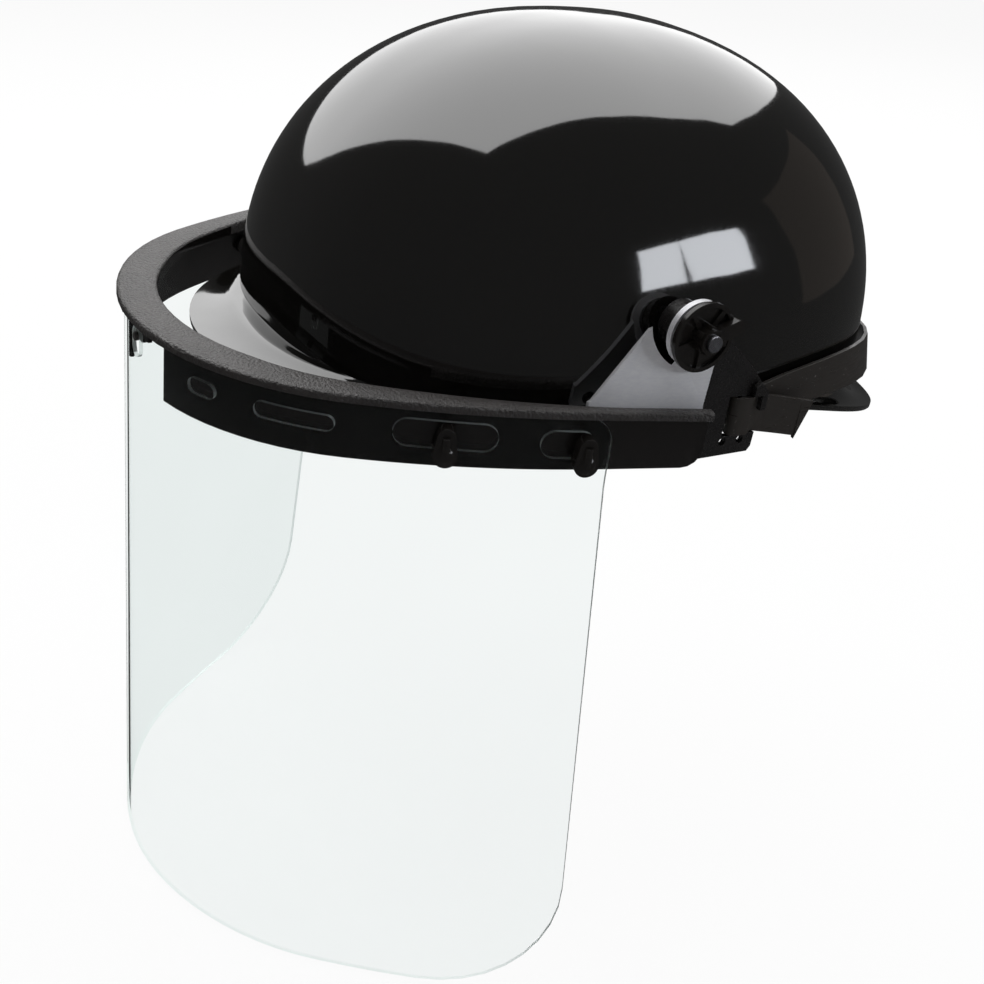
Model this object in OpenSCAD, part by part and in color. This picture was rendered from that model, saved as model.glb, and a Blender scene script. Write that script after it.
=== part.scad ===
// Protective hat with a front peak, a lifting face shield and a ratchet suspension.
// Millimetres. +Z up, -Y to the front, +X to the wearer's left.
// The origin is the middle of the headband, where the head sits.

/* [Shell] */
// Half width of the crown at its widest
crown_half_w = 109; // [104:0.5:112]
// Half length of the crown at its widest
crown_half_l = 132; // [127:0.5:136]
// Height of the crown above its widest level
crown_h = 116; // [106:1:122]
// Level of the widest part of the crown
crown_z = 12; // [8:1:16]
// Wall of the shell
shell_wall = 2.5; // [2:0.1:3]
// How far the front peak stands out of the crown
peak_w = 25.5; // [20:0.5:30]
// How far the rim flares at the nape
nape_flare = 12; // [9:0.5:14]
// How far the rim flares at the sides
side_flare = 1.2; // [0.8:0.1:2]
// Level of the peak's edge
peak_z = 5; // [2:1:8]
// Level of the rim at the sides
side_z = 3; // [0:1:5]
// Level of the rim at the nape
nape_z = -22; // [-28:1:-18]

/* [Visor frame] */
// How much smaller than the crown's half width the lip's radius is at the front
front_less = 9; // [5:0.5:13]
// Angle of the front arc on each side
front_arc = 58.5; // [56:0.5:61]
// Radius of the lip's outer edge at the sides
side_r = 341; // [320:1:360]
// Angle that each side still leans outward at its end
side_lean = 16.8; // [14:0.2:18]
// Length of the straight end of each side
side_end_l = 41; // [34:1:44]
// How far the lip's front edge stands out beyond the peak
frame_stand = 27.5; // [24:0.5:33]
// Level of the lip's top face
lip_z = 20; // [18:0.5:24]
// Width of the lip at the front
lip_w = 15; // [13:0.5:17]
// Width of the lip at its rear ends
lip_end_w = 5.2; // [5:0.1:6]
// Thickness of the lip
lip_t = 3; // [2.4:0.2:3.4]
// Depth of the short wall under the lip's inner edge
inner_wall_d = 6; // [4:0.5:8]
// Depth of the skirt at the front
skirt_d = 28; // [26:0.5:30]
// Depth of the skirt at its rear ends
skirt_end_d = 23; // [22.5:0.5:24]
// Wall of the skirt and of the inner wall
skirt_t = 2; // [1.8:0.1:2.2]
// Half width of the notch in the skirt at the front
notch_half_w = 21.5; // [18:0.5:24]

/* [Window] */
// Height of the window
window_h = 254; // [200:2:270]
// Half of the window's width, measured round its curve
window_half_w = 195; // [191:1:199]
// Thickness of the sheet
window_t = 1.5; // [1:0.1:1.8]
// Radius of the lower corners
window_corner_r = 53; // [35:1:60]
// How much wider the curve opens at the bottom edge
window_spread = 0.23; // [0.1:0.01:0.28]
// Height of the long slots for the toggles
slot_h = 10.4; // [9.6:0.2:12]

/* [Toggles] */
// Places of the two toggles of each side, measured round the curve
toggle_s = [136.4, 185.2];
// Level of the front toggles' pins below the lip's top
toggle_drop = 12.5; // [12:0.5:14]
// How much lower the rear toggles sit
toggle_fall = 1.1; // [0:0.1:2]
// Radius of a toggle's pin
toggle_pin_r = 3; // [2.5:0.1:3.2]
// Width of a toggle's lever at its rounded lower end
toggle_w = 8.8; // [7.6:0.1:9.4]
// Width of a toggle's lever at its upper end
toggle_top_w = 6.4; // [6.2:0.1:7.4]
// Length of a toggle's lever below its pin
toggle_l = 9.5; // [8:0.1:11]
// Length of a toggle's lever above its pin
toggle_up = 5.2; // [4.5:0.1:5.6]
// Thickness of a toggle's lever
toggle_t = 5; // [4:0.5:6]

/* [Pivots] */
// Distance of the pivots behind the headband's middle
pivot_y = -22; // [-25:0.5:-20]
// Level of the pivots
pivot_z = 45; // [43:0.5:47]
// Radius of the pivot bolts
bolt_r = 3; // [2.5:0.1:3.4]
// Radius of the arms' round ends
arm_r = 12; // [11:0.5:13]
// Thickness of the arms
arm_t = 2.4; // [2:0.2:3.4]
// Radius of the knobs' disc
knob_r = 12.8; // [11.8:0.2:14]
// Thickness of the knobs' disc
knob_t = 3.4; // [2.6:0.2:4]
// Length of the knobs' hub
knob_hub_l = 8; // [7:0.5:9]
// Number of ribs on each knob
knob_ribs = 5; // [4:1:7]

/* [Brackets and rear strap] */
// How far the brackets stand off the shell at its widest
bracket_stand = 4.6; // [4:0.1:5.4]
// Radius of the brackets' round top
bracket_top_r = 9; // [8.4:0.2:10]
// Front and rear edge of the bar that the strap turns round
bar_y = [8.7, 12.5];
// Width of the slot before the bar
front_slot_w = 5.9; // [5.4:0.1:7]
// Width of the slot behind the bar
rear_slot_w = 4; // [3.6:0.1:5]
// How far the brackets reach below the strap's middle
bracket_drop = 16; // [15:0.5:18]
// Thickness of the bracket plates
bracket_t = 2.5; // [2:0.1:3]
// Width of the rear strap
strap_w = 15.5; // [13:0.5:17]
// Thickness of the rear strap
strap_t = 1.6; // [1.2:0.1:1.8]
// Level of the rear strap in the brackets
strap_z = 8; // [6:0.5:10]
// How much higher the strap runs at its highest
strap_rise = 6; // [3:0.5:7]
// Length of each loose strap tail
tail_l = 28.5; // [20:0.5:40]
// Radius of the two accessory holes of each bracket
hole_r = 1.6; // [1.2:0.1:2]
// Spacing of the two accessory holes
hole_gap = 8.5; // [7:0.5:9]

/* [Suspension] */
// Inner radius of the headband at the forehead and the nape
band_r = 76; // [73:0.5:78]
// Half length of the headband's straight sides
band_side = 20; // [17:0.5:22]
// Thickness of the headband
band_t = 1.6; // [1.2:0.1:1.8]
// Height of the headband
band_h = 28; // [26:1:32]
// Thickness of the brow pad
pad_t = 5; // [3:0.5:6]
// Width of the crown straps
crown_strap_w = 20; // [16:1:24]
// Thickness of the crown straps
crown_strap_t = 1.2; // [0.8:0.1:1.4]
// Level of the crown straps where they cross
crown_strap_z = 92; // [86:1:96]

/* [Ratchet] */
// Number of teeth of the pinion
pinion_teeth = 10; // [10:2:12]
// Size of a tooth, its pitch over pi
tooth_m = 1; // [0.8:0.05:1]
// Height of the toothed nape tails
tail_h = 20; // [20:0.5:21]
// Thickness of the nape tails
tail_t = 1.6; // [1.2:0.1:1.8]
// Radius of the adjusting knob
wheel_r = 15; // [13:0.5:16]
// Number of grips round the adjusting knob
wheel_grips = 12; // [8:1:16]

/* [Hidden] */
$fn = 48;

// Clearances
seat = 0.3;
running = 0.08;
slack = 0.4;
cut = 1;
tiny = 0.01;
// Superellipse powers of the crown, in plan and in height
plan_pow = 2.42;
rise_pow = 2.2;
// Draft of the wall under the crown's widest level, in degrees
wall_draft = 3;
// Columns round the shell and rows over its crown
shell_cols = 72;
crown_rows = 10;
// Stations along the visor frame and the window
frame_step = 8;
window_step = 8;
window_rows = 7;

shell_black = [0.07, 0.06, 0.06];
frame_grey = [0.16, 0.15, 0.15];
gloss_black = [0.09, 0.09, 0.09];
strap_black = [0.13, 0.11, 0.11];
clear_tint = [0.82, 0.93, 0.93, 0.35];
steel = [0.62, 0.62, 0.66];
band_grey = [0.2, 0.2, 0.21];
web_grey = [0.3, 0.3, 0.32];

// Helpers

function clamp01(v) = min(1, max(0, v));
function smooth(v) = let (q = clamp01(v)) q * q * (3 - 2 * q);
function mix(a, b, q) = a + (b - a) * q;

// Faces that close a ring which runs out along one row of points and back along another
function strip_cap(m, base, up) =
    [for (j = [0 : m / 2 - 2]) let (quad = [j, j + 1, m - 2 - j, m - 1 - j])
     [for (i = [0 : 3]) base + quad[up ? 3 - i : i]]];

// Skin over closed rings of equal length; thin rings close with strips, others with one flat face
module skin(rings, thin = false) {
    m = len(rings[0]);
    k = len(rings);
    pts = [for (ring = rings) for (p = ring) p];
    sides = [for (i = [0 : k - 2]) for (j = [0 : m - 1]) let (n = (j + 1) % m)
             each [[i * m + j, (i + 1) * m + n, (i + 1) * m + j],
                   [i * m + j, i * m + n, (i + 1) * m + n]]];
    first = thin ? strip_cap(m, 0, true) : [[for (j = [m - 1 : -1 : 0]) j]];
    last = thin ? strip_cap(m, (k - 1) * m, false) : [[for (j = [0 : m - 1]) (k - 1) * m + j]];
    polyhedron(points = pts, faces = concat(sides, first, last), convexity = 10);
}

// Rounded slot cutter along X, through Z
module slot2d(l, w) {
    square([l - w, w], center = true);
    for (side = [-1, 1]) translate([side * (l - w) / 2, 0]) circle(d = w);
}

// Mirror to the wearer's right when side is -1
module on_side(side) {
    if (side > 0) children();
    else mirror([1, 0, 0]) children();
}

// Crown of the shell

// Radius of the crown in plan at angle a from the front
function crown_r(a) =
    pow(pow(abs(sin(a)) / crown_half_w, plan_pow) + pow(abs(cos(a)) / crown_half_l, plan_pow),
        -1 / plan_pow);

// Share of the plan radius left at height z
function crown_share(z) =
    z <= crown_z ? 1
    : pow(max(0, 1 - pow((z - crown_z) / crown_h, rise_pow)), 1 / rise_pow);

// Outer radius of the shell wall at angle a and height z
function wall_r(a, z) = crown_r(a) * crown_share(z) + max(0, crown_z - z) * tan(wall_draft);

// Angle from the front, folded to 0 to 180
function from_front(a) = abs(a > 180 ? a - 360 : a);

// Front peak: a round outline about a point before the middle
peak_r = 78;
peak_half_arc = 60;
peak_blend = 2.5;
peak_centre = crown_half_l + peak_w - peak_r;
function peak_reach(a) =
    let (b = from_front(a))
    b > peak_half_arc ? 0
    : peak_centre * cos(b) + sqrt(max(0, peak_r * peak_r - pow(peak_centre * sin(b), 2)));

// Angles over which the rim's level and flare change: where they start and how far they run
peak_fall = [30, 50];
nape_fall = [105, 58];
flare_run = [105, 35];
function rim_z(a) =
    let (b = from_front(a))
    mix(mix(peak_z, side_z, smooth((b - peak_fall[0]) / peak_fall[1])),
        nape_z, smooth((b - nape_fall[0]) / nape_fall[1]));

function small_flare(a) =
    mix(side_flare, nape_flare, smooth((from_front(a) - flare_run[0]) / flare_run[1]));

// Width of the rim, the larger of the peak and the small flare, blended
function rim_w(a) =
    let (p = peak_reach(a) - crown_r(a), f = small_flare(a))
    f + peak_blend * ln(1 + exp((p - f) / peak_blend));

// How far the rim's root rises above its edge
rim_slope = 0.36;
rim_least = 1;
function rim_rise(a) = rim_slope * rim_w(a) + rim_least;

// Point of the shell's section: angle, radius and level
function around(a, r, z) = [r * sin(a), -r * cos(a), z];

top_turn = 3;
function row_rise(i) = cos(mix(top_turn, 90, i / crown_rows));
crown_levels = [for (i = [0 : crown_rows]) crown_z + crown_h * row_rise(i)];
rim_steps = [0.12, 0.32, 0.58, 0.82, 1];

function rim_root(a) = rim_z(a) + shell_wall + rim_rise(a);
// Upper face of the rim at share q of its width: radius and level, kept under the widest level
function rim_out(a, q) =
    [wall_r(a, rim_root(a)) + rim_w(a) * pow(q, 1.5),
     min(mix(rim_root(a), rim_z(a) + shell_wall, 1 - pow(1 - q, 2)), crown_z - rim_least * (1 + q))];

// Angle of column j round the shell
function shell_angle(j) = j * 360 / shell_cols;

inner_h = crown_h - shell_wall;
function inner_share(z) =
    z <= crown_z ? 1
    : pow(max(0, 1 - pow((z - crown_z) / inner_h, rise_pow)), 1 / rise_pow);
function inner_r(a, z) =
    (crown_r(a) - shell_wall) * inner_share(z) + max(0, crown_z - z) * tan(wall_draft);

shell_rings = concat(
    [for (z = crown_levels) [for (j = [0 : shell_cols - 1]) let (a = shell_angle(j))
        around(a, wall_r(a, z), z)]],
    [[for (j = [0 : shell_cols - 1]) let (a = shell_angle(j))
        around(a, wall_r(a, rim_root(a)), min(rim_root(a), crown_z - rim_least))]],
    [for (q = rim_steps) [for (j = [0 : shell_cols - 1]) let (a = shell_angle(j), p = rim_out(a, q))
        around(a, p[0], p[1])]],
    [for (i = [len(rim_steps) - 1 : -1 : 0])
        [for (j = [0 : shell_cols - 1])
            let (a = shell_angle(j), q = rim_steps[i], p = rim_out(a, q))
            around(a, p[0] - shell_wall * (1 - q), p[1] - shell_wall * q)]],
    [for (i = [crown_rows : -1 : 0]) let (z = crown_z + inner_h * row_rise(i))
        [for (j = [0 : shell_cols - 1]) let (a = shell_angle(j))
            around(a, inner_r(a, z), z)]]
);

// Visor rail: the lip's outer edge, followed by its length s from the front centre

front_r = crown_half_w - front_less;
frame_reach = crown_half_l + peak_w + frame_stand;
arc_len = front_r * front_arc * PI / 180;
end_heading = 90 - side_lean;
side_len = side_r * (end_heading - front_arc) * PI / 180;
rail_len = arc_len + side_len + side_end_l;
front_centre = [0, front_r - frame_reach];
side_centre = front_centre + (front_r - side_r) * [sin(front_arc), -cos(front_arc)];

function rail_heading(s) =
    let (d = abs(s))
    d <= arc_len ? d / front_r * 180 / PI
    : d <= arc_len + side_len ? front_arc + (d - arc_len) / side_r * 180 / PI
    : end_heading;

// Point at length s, moved inward by u
function rail_half(d, u) =
    let (h = rail_heading(d), out = [sin(h), -cos(h)])
    d <= arc_len ? front_centre + (front_r - u) * out
    : d <= arc_len + side_len ? side_centre + (side_r - u) * out
    : side_centre + (side_r - u) * out + (d - arc_len - side_len) * [cos(h), sin(h)];
function rail_pt(s, u) = let (p = rail_half(abs(s), u)) [s < 0 ? -p[0] : p[0], p[1]];

// Share of the way from the wide front to the narrow ends: where it starts and how far it runs
narrowing = [0.25, 0.6];
// Room from the lip's edge to the sheet at the front and at the ends
skirt_in = [3, 1.5];
function end_share(s) = clamp01((abs(s) / rail_len - narrowing[0]) / narrowing[1]);
function lip_w_at(s) = mix(lip_w, lip_end_w, end_share(s));
function skirt_u(s) = window_t + mix(skirt_in[0], skirt_in[1], end_share(s));
function skirt_d_at(s) = mix(skirt_d, skirt_end_d, abs(s) / rail_len);

frame_stations = [for (i = [-frame_half_steps() : frame_half_steps()])
                  i * rail_len / frame_half_steps()];
function frame_half_steps() = floor(rail_len / frame_step);

// Section of the lip and the short wall under its inner edge, with rounded upper corners
lip_round = 1.2;
end_wall_d = 0.6;
function lip_section(s) =
    let (w = lip_w_at(s), r = lip_round, k = lip_round * (1 - cos(45)),
         drop = mix(inner_wall_d, lip_t + end_wall_d, end_share(s)))
    [[0, -lip_t], [0, -r], [k, -k], [r, 0], [w - r, 0], [w - k, -k],
     [w, -r], [w, -drop], [w - skirt_t, -drop], [w - skirt_t, -lip_t]];

// Corner radius of the skirt's rear ends
skirt_end_r = 7;
notch_s = asin(notch_half_w / front_r) * front_r * PI / 180;
skirt_end_s = rail_len - seat;
skirt_round_s = skirt_end_s - skirt_end_r;

// Stations along one side of the skirt, closer together round its rear corner
skirt_steps = floor((skirt_round_s - notch_s) / frame_step);
skirt_stations = concat(
    [for (i = [0 : skirt_steps]) mix(notch_s, skirt_round_s, i / skirt_steps)],
    [for (a = [22.5 : 22.5 : 90]) skirt_round_s + skirt_end_r * sin(a)]
);

// How much the rear corner takes off the skirt's depth
function skirt_corner(s) =
    let (over = max(0, s - skirt_round_s))
    skirt_end_r - sqrt(max(0, skirt_end_r * skirt_end_r - over * over));

skirt_round = 0.5;
function skirt_section(s) =
    let (u = skirt_u(s), d = skirt_d_at(s) - skirt_corner(s), r = skirt_round)
    [[u, -lip_t / 2], [u + skirt_t, -lip_t / 2], [u + skirt_t, -d + r],
     [u + skirt_t - r, -d], [u + r, -d], [u, -d + r]];

// Ring of a section placed on the rail at s
function rail_ring(s, section) =
    [for (p = section) let (q = rail_pt(s, p[0])) [q[0], q[1], lip_z + p[1]]];

// Places children on the outer face of the skirt at s: X outward, Y along the rail, Z up
module on_skirt(s, drop) {
    p = rail_pt(s, skirt_u(s));
    side = s < 0 ? -1 : 1;
    translate([p[0], p[1], lip_z - drop])
        rotate([0, 0, side > 0 ? rail_heading(s) - 90 : 270 - rail_heading(s)])
            children();
}

// Hooks under the lip at the front, outside the sheet
hook_s = 15;
hook_w = 3;
hook_t = 1.5;
hook_off = window_t + seat;
hook_root = 0.5;
strip_h = 1;
strip_inset = 0.2;
hook_arc = hook_s / front_r * 180 / PI;

// Window sheet

// The sheet hangs straight down to here, and opens below
clamp_drop = max(skirt_d, toggle_drop + toggle_fall + toggle_l) + seat;
function window_u(s) = skirt_u(s) - seat / 2;

// How far the sheet is stretched sideways at a drop below the lip
function spread_at(s, drop) =
    1 + window_spread * max(0, drop - clamp_drop) / (window_h - clamp_drop) * abs(s) / window_half_w;

function window_pt(s, drop, u) =
    let (p = rail_pt(s, u)) [p[0] * spread_at(s, drop), p[1], lip_z - drop];

// Half width of the sheet at a drop, with its rounded corners
window_top_r = 10;
function window_half_at(drop) =
    let (up = window_h + lip_t - drop, down = drop - lip_t)
    window_half_w
    - (up < window_corner_r
       ? window_corner_r - sqrt(max(0, pow(window_corner_r, 2) - pow(window_corner_r - up, 2)))
       : 0)
    - (down < window_top_r
       ? window_top_r - sqrt(max(0, pow(window_top_r, 2) - pow(window_top_r - down, 2)))
       : 0);

window_cols = 2 * floor(window_half_w / window_step);
window_drops = concat(
    [for (a = [0 : 30 : 90]) lip_t + window_top_r * (1 - cos(a)) + seat * cos(a)],
    [for (i = [0 : window_rows - 1])
        mix(clamp_drop, window_h + lip_t - window_corner_r, i / window_rows)],
    [for (a = [90 : -15 : 0]) window_h + lip_t - window_corner_r * (1 - cos(a))]
);

function window_row(drop, u_shift) =
    [for (j = [0 : window_cols])
        let (s = mix(-1, 1, j / window_cols) * window_half_at(drop))
        window_pt(s, drop, window_u(s) - u_shift)];

// Slots along the window's top on each side: middle, length, height and level below the lip's top
window_slots = [[45, 12.6, 5.8, toggle_drop + 0.6], [83.2, 29, 6, toggle_drop + 0.4],
                [toggle_s[0], 36.4, slot_h, toggle_level(0)],
                [toggle_s[1] - 5.8, 19.6, slot_h, toggle_level(1)]];
// Hole at the front: width, height and level below the lip's top
front_hole = [8, 12];
front_drop = 12;
// How far the slots' cutters reach, past the sheet where it curves away
slot_cut_l = 4 * window_t + 2 * cut;

// Toggles

function toggle_level(i) = toggle_drop + i * toggle_fall;

// How far the lever's inner face stands off the skirt
toggle_off = window_t + 2 * seat;
toggle_head_r = 4.2;
toggle_head_t = 1.6;
toggle_dome_h = 0.9;
toggle_rib_r = 1.5;

module toggle_lever() {
    r1 = toggle_top_w / 2;
    r2 = toggle_w / 2;
    top = r1 - toggle_up;
    d = toggle_l - r2 - top;
    b = asin((r2 - r1) / d);
    translate([toggle_off, 0, 0]) rotate([0, 90, 0]) {
        // Drop shape: a small round top, a larger round end and straight sides that touch both
        linear_extrude(toggle_t) translate([top, 0]) {
            circle(r = r1);
            translate([d, 0]) circle(r = r2);
            polygon([[-r1 * sin(b), -r1 * cos(b)], [d - r2 * sin(b), -r2 * cos(b)],
                     [d - r2 * sin(b), r2 * cos(b)], [-r1 * sin(b), r1 * cos(b)]]);
        }
        translate([top + d, 0, toggle_t - tiny])
            cylinder(r1 = r2 - toggle_dome_h, r2 = r2 / 2, h = toggle_dome_h);
    }
    // A rounded rib down the lever
    translate([toggle_off + toggle_t, 0, r2 - toggle_l])
        cylinder(r = toggle_rib_r, h = toggle_l - r2 - top);
}

module toggle(i) {
    on_skirt(toggle_s[i], toggle_level(i)) {
        toggle_lever();
        // Pin through the skirt and its head inside
        translate([-skirt_t - seat - tiny, 0, 0]) rotate([0, 90, 0])
            cylinder(r = toggle_pin_r, h = skirt_t + seat + toggle_off + cut);
        translate([-skirt_t - seat - toggle_head_t, 0, 0]) rotate([0, 90, 0])
            cylinder(r = toggle_head_r, h = toggle_head_t);
    }
}

// Stack along each pivot, outward from the shell
pivot_gap = 0.1;
washer_t = 1;
bolt_proud = 1.5;
bracket_x = crown_half_w + bracket_stand;
washer_x = bracket_x + bracket_t + pivot_gap;
arm_x = washer_x + washer_t + pivot_gap;
knob_x = arm_x + arm_t + seat;
bolt_end_x = knob_x + knob_hub_l + bolt_proud;

// Places children on the pivot, turned so their Z runs outward along +X
module at_pivot(x) {
    translate([x, pivot_y, pivot_z]) rotate([0, 90, 0]) children();
}

// Side arm: a leaning triangular plate whose foot stands inside the skirt, under a round boss

// The foot begins over the rear toggle's inner head, and is low enough to clear it
arm_s = [toggle_s[1] + 1.3, rail_len - 1.6];
foot_h = toggle_level(1) - toggle_head_r - seat;
foot_z = lip_z - foot_h;
foot_a = rail_pt(arm_s[0], lip_w_at(arm_s[0]) + seat);
foot_b = rail_pt(arm_s[1], lip_w_at(arm_s[1]) + seat);
foot_l = norm(foot_b - foot_a);
foot_dir = (foot_b - foot_a) / foot_l;
foot_turn = atan2(foot_dir[0], foot_dir[1]);
// The plate's middle passes inside the boss, so that enough is left where the knob's room is cut
arm_bend = 3.5;
to_pivot = [arm_x + arm_t / 2 - arm_bend, pivot_y] - foot_a;
arm_inset = -to_pivot * [cos(foot_turn), -sin(foot_turn)];
arm_lean = atan2(arm_inset - arm_t / 2, pivot_z - foot_z);

arm_room = 2;
arm_clear = 10;
arm_heel = [1, 0.5];

// Outline of the plate: along its foot and up, its rear edge straight down from the round end
module arm_outline() {
    y = to_pivot * foot_dir;
    z = (pivot_z - foot_z) / cos(arm_lean);
    start = [arm_heel[0], foot_h + arm_heel[1]];
    d = norm([y, z] - start);
    slope = atan2(z - start[1], y - start[0]) + asin(arm_r / d);
    run = sqrt(d * d - arm_r * arm_r);
    touch = start + run * [cos(slope), sin(slope)];
    polygon([[0, 0], [foot_l, 0], [foot_l, foot_h], [y + arm_r, z], [y, z], touch, start, [0, foot_h]]);
    translate([y, z]) circle(r = arm_r);
}

module side_arm() {
    difference() {
        union() {
            // Boss round the bolt
            at_pivot(arm_x) cylinder(r = arm_r, h = arm_t);
            translate([foot_a[0], foot_a[1], foot_z])
                rotate([0, 0, -foot_turn]) rotate([0, -arm_lean, 0])
                    translate([-arm_t, 0, 0]) rotate([90, 0, 90])
                        linear_extrude(arm_t) arm_outline();
        }
        // Room for the washer and the bracket inside, and for the knob outside
        at_pivot(arm_x - arm_clear) cylinder(r = arm_r + arm_room, h = arm_clear);
        at_pivot(arm_x + arm_t) cylinder(r = arm_r + arm_room, h = arm_clear);
        at_pivot(0) cylinder(r = bolt_r + running, h = 2 * crown_half_w);
        // Screw holes, each with a flat seat for the head
        for (s = screw_s) on_skirt(s, screw_drop) translate([screw_head_x(s) - foot_h, 0, 0])
            rotate([0, 90, 0]) {
                cylinder(r = screw_r + running, h = 2 * foot_h);
                cylinder(r = 2 * screw_r + seat, h = foot_h + running);
            }
    }
}

// Screws between the arms and the skirt, from inside
screw_s = [arm_s[0] + 7.5, arm_s[1] - 9];
screw_drop = (lip_t + end_wall_d + foot_h) / 2;
screw_r = 1.2;
screw_head_t = 1.4;
screw_sink = 0.5;
screw_end = 0.6;
// Where a screw's head bears, inward from the skirt's outer face
function screw_head_x(s) =
    screw_sink - arm_t - seat + skirt_u(s)
    - mix(lip_w_at(arm_s[0]), lip_w_at(arm_s[1]), (s - arm_s[0]) / (arm_s[1] - arm_s[0]));

// Knobs: a dished disc with ribs, a lobed hub and a thumb wing
dish_d = 1.4;
dish_rim = 1.6;
// The rim stands off the arm, which leans out beyond its boss
knob_seat_r = 8.8;
knob_under = 1.6;
under_slope = (knob_r - knob_seat_r) / knob_under;
rib_w = 2;
rib_drop = 0.3;
hub_r = 4.6;
hub_lobes = 6;
lobe_r = 1.3;
wing_w = 5.5;
wing_over = 2.4;
wing_root = 0.4;
wing_h = 3.4;
wing_turn = 18;

module knob() {
    at_pivot(knob_x) difference() {
        union() {
            difference() {
                cylinder(r = knob_r, h = knob_t);
                translate([0, 0, knob_t - dish_d]) cylinder(r = knob_r - dish_rim, h = dish_d + cut);
            }
            for (i = [0 : knob_ribs - 1]) rotate([0, 0, i * 360 / knob_ribs])
                translate([0, -rib_w / 2, tiny]) cube([knob_r - dish_rim / 2, rib_w, knob_t - rib_drop]);
            cylinder(r = hub_r, h = knob_hub_l);
            for (i = [0 : hub_lobes - 1]) rotate([0, 0, i * 360 / hub_lobes])
                translate([hub_r - rib_drop, 0, tiny]) cylinder(r = lobe_r, h = knob_hub_l - cut);
            // The raised wing that the thumb turns
            rotate([0, 0, 90 + wing_turn]) translate([(knob_r + wing_over) / 2, 0, knob_t - wing_root])
                linear_extrude(wing_h) slot2d(knob_r + wing_over, wing_w);
        }
        translate([0, 0, -cut]) cylinder(r = bolt_r + running, h = knob_hub_l + 2 * cut);
        difference() {
            translate([0, 0, -cut]) cylinder(r = knob_r + wing_over, h = cut + knob_under + seat);
            translate([0, 0, -2 * cut]) cylinder(r1 = knob_seat_r - 2 * cut * under_slope,
                r2 = knob_r + 2 * seat * under_slope, h = 2 * cut + knob_under + 2 * seat);
        }
    }
}

module pivot_bolt() {
    start = bracket_x - pad_rest - bolt_head_t;
    at_pivot(start) {
        cylinder(r = bolt_r, h = bolt_end_x - start);
        cylinder(r = bolt_head_r, h = bolt_head_t);
    }
}

module pivot_washer() {
    at_pivot(washer_x) difference() {
        cylinder(r = bracket_top_r, h = washer_t);
        translate([0, 0, -cut]) cylinder(r = bolt_r + running, h = washer_t + 2 * cut);
    }
}

// Strap bracket: a plate with a bar between two slots, and a raised hook over the rear slot

hook_w_y = 3;
hook_y = [bar_y[1] + rear_slot_w, bar_y[1] + rear_slot_w + hook_w_y];
bracket_back = hook_y[1];
bracket_low = strap_z - bracket_drop;
slot_low = strap_z - strap_w / 2 - slack;
slot_top = strap_z + strap_w / 2 + slack;
hook_x = bracket_x + bracket_t + seat;
hook_plate_t = 2.3;
hook_drop = 6;
hook_root_h = 3.2;
pad_rest = 0.2;
pad_less = 0.4;
bolt_head_t = 2;
bolt_head_r = bolt_r + 2.5;
hole_edge = 0.6;
hole_y = bar_y[0] - 0.7;
hole_z = slot_low - hole_r - hole_edge;

// Corners of the plate from the top down its rear edge and up its front edge: shares of the way
// from the pivot to the plate's back and from its lowest level to the pivot
bracket_shares = [[0.506, 0.86], [0.795, 0.663], [0.908, 0.569], [1, 0.4745], [0.976, 0.038],
                  [0.94, 0], [0.241, 0], [0.169, 0.075], [0.145, 0.415]];

// Outlines in the Y, Z plane
module bracket_outline() {
    k = bracket_top_r * cos(45);
    difference() {
        union() {
            translate([pivot_y, pivot_z]) circle(r = bracket_top_r);
            polygon(concat([[pivot_y - k, pivot_z - k], [pivot_y + k, pivot_z + k]],
                           [for (q = bracket_shares) [mix(pivot_y, bracket_back, q[0]),
                                                      mix(bracket_low, pivot_z, q[1])]]));
        }
        translate([bar_y[0] - front_slot_w, slot_low]) square([front_slot_w, slot_top - slot_low]);
        translate([bar_y[1], slot_low]) square([bracket_back, slot_top - slot_low]);
    }
}

module hook_outline(low) {
    polygon([[bar_y[1], slot_top], [bar_y[1], slot_top + 4], [hook_y[0] - 1.6, slot_top + 5.5],
             [hook_y[1] - 0.4, slot_top + 1.5], [hook_y[1] - 0.4, low], [hook_y[0], low],
             [hook_y[0], slot_top]]);
}

module strap_bracket() {
    difference() {
        union() {
            translate([bracket_x, 0, 0]) rotate([90, 0, 90])
                linear_extrude(bracket_t) bracket_outline();
            // Pad that rests on the shell behind the bolt
            pad_r = bracket_top_r - pad_less;
            pad_x = wall_r(90, pivot_z - pad_r) + pad_rest;
            at_pivot(pad_x) cylinder(r = pad_r, h = bracket_x - pad_x + tiny);
            // Hook that stands clear of the strap's loose end
            translate([hook_x, 0, 0]) rotate([90, 0, 90])
                linear_extrude(hook_plate_t) hook_outline(slot_top - hook_drop);
            translate([bracket_x + cut, bar_y[1] + seat, slot_top + seat])
                cube([bracket_t + seat, rear_slot_w, hook_root_h]);
        }
        at_pivot(0) cylinder(r = bolt_r + running, h = 2 * crown_half_w);
        // Pocket for the bolt's head
        at_pivot(bracket_x - crown_half_w) cylinder(r = bolt_head_r + seat, h = crown_half_w);
        // Two accessory holes under the slots
        for (i = [-0.5, 0.5])
            translate([bracket_x - cut, hole_y + i * hole_gap, hole_z]) rotate([0, 90, 0])
                cylinder(r = hole_r, h = bracket_t + 2 * cut);
    }
}

// Rear strap: one ribbon from tail to tail

strap_off = side_flare + 2 * seat;
function strap_wall(a) = wall_r(a, strap_z - strap_w / 2) + strap_off + strap_t / 2;

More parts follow.
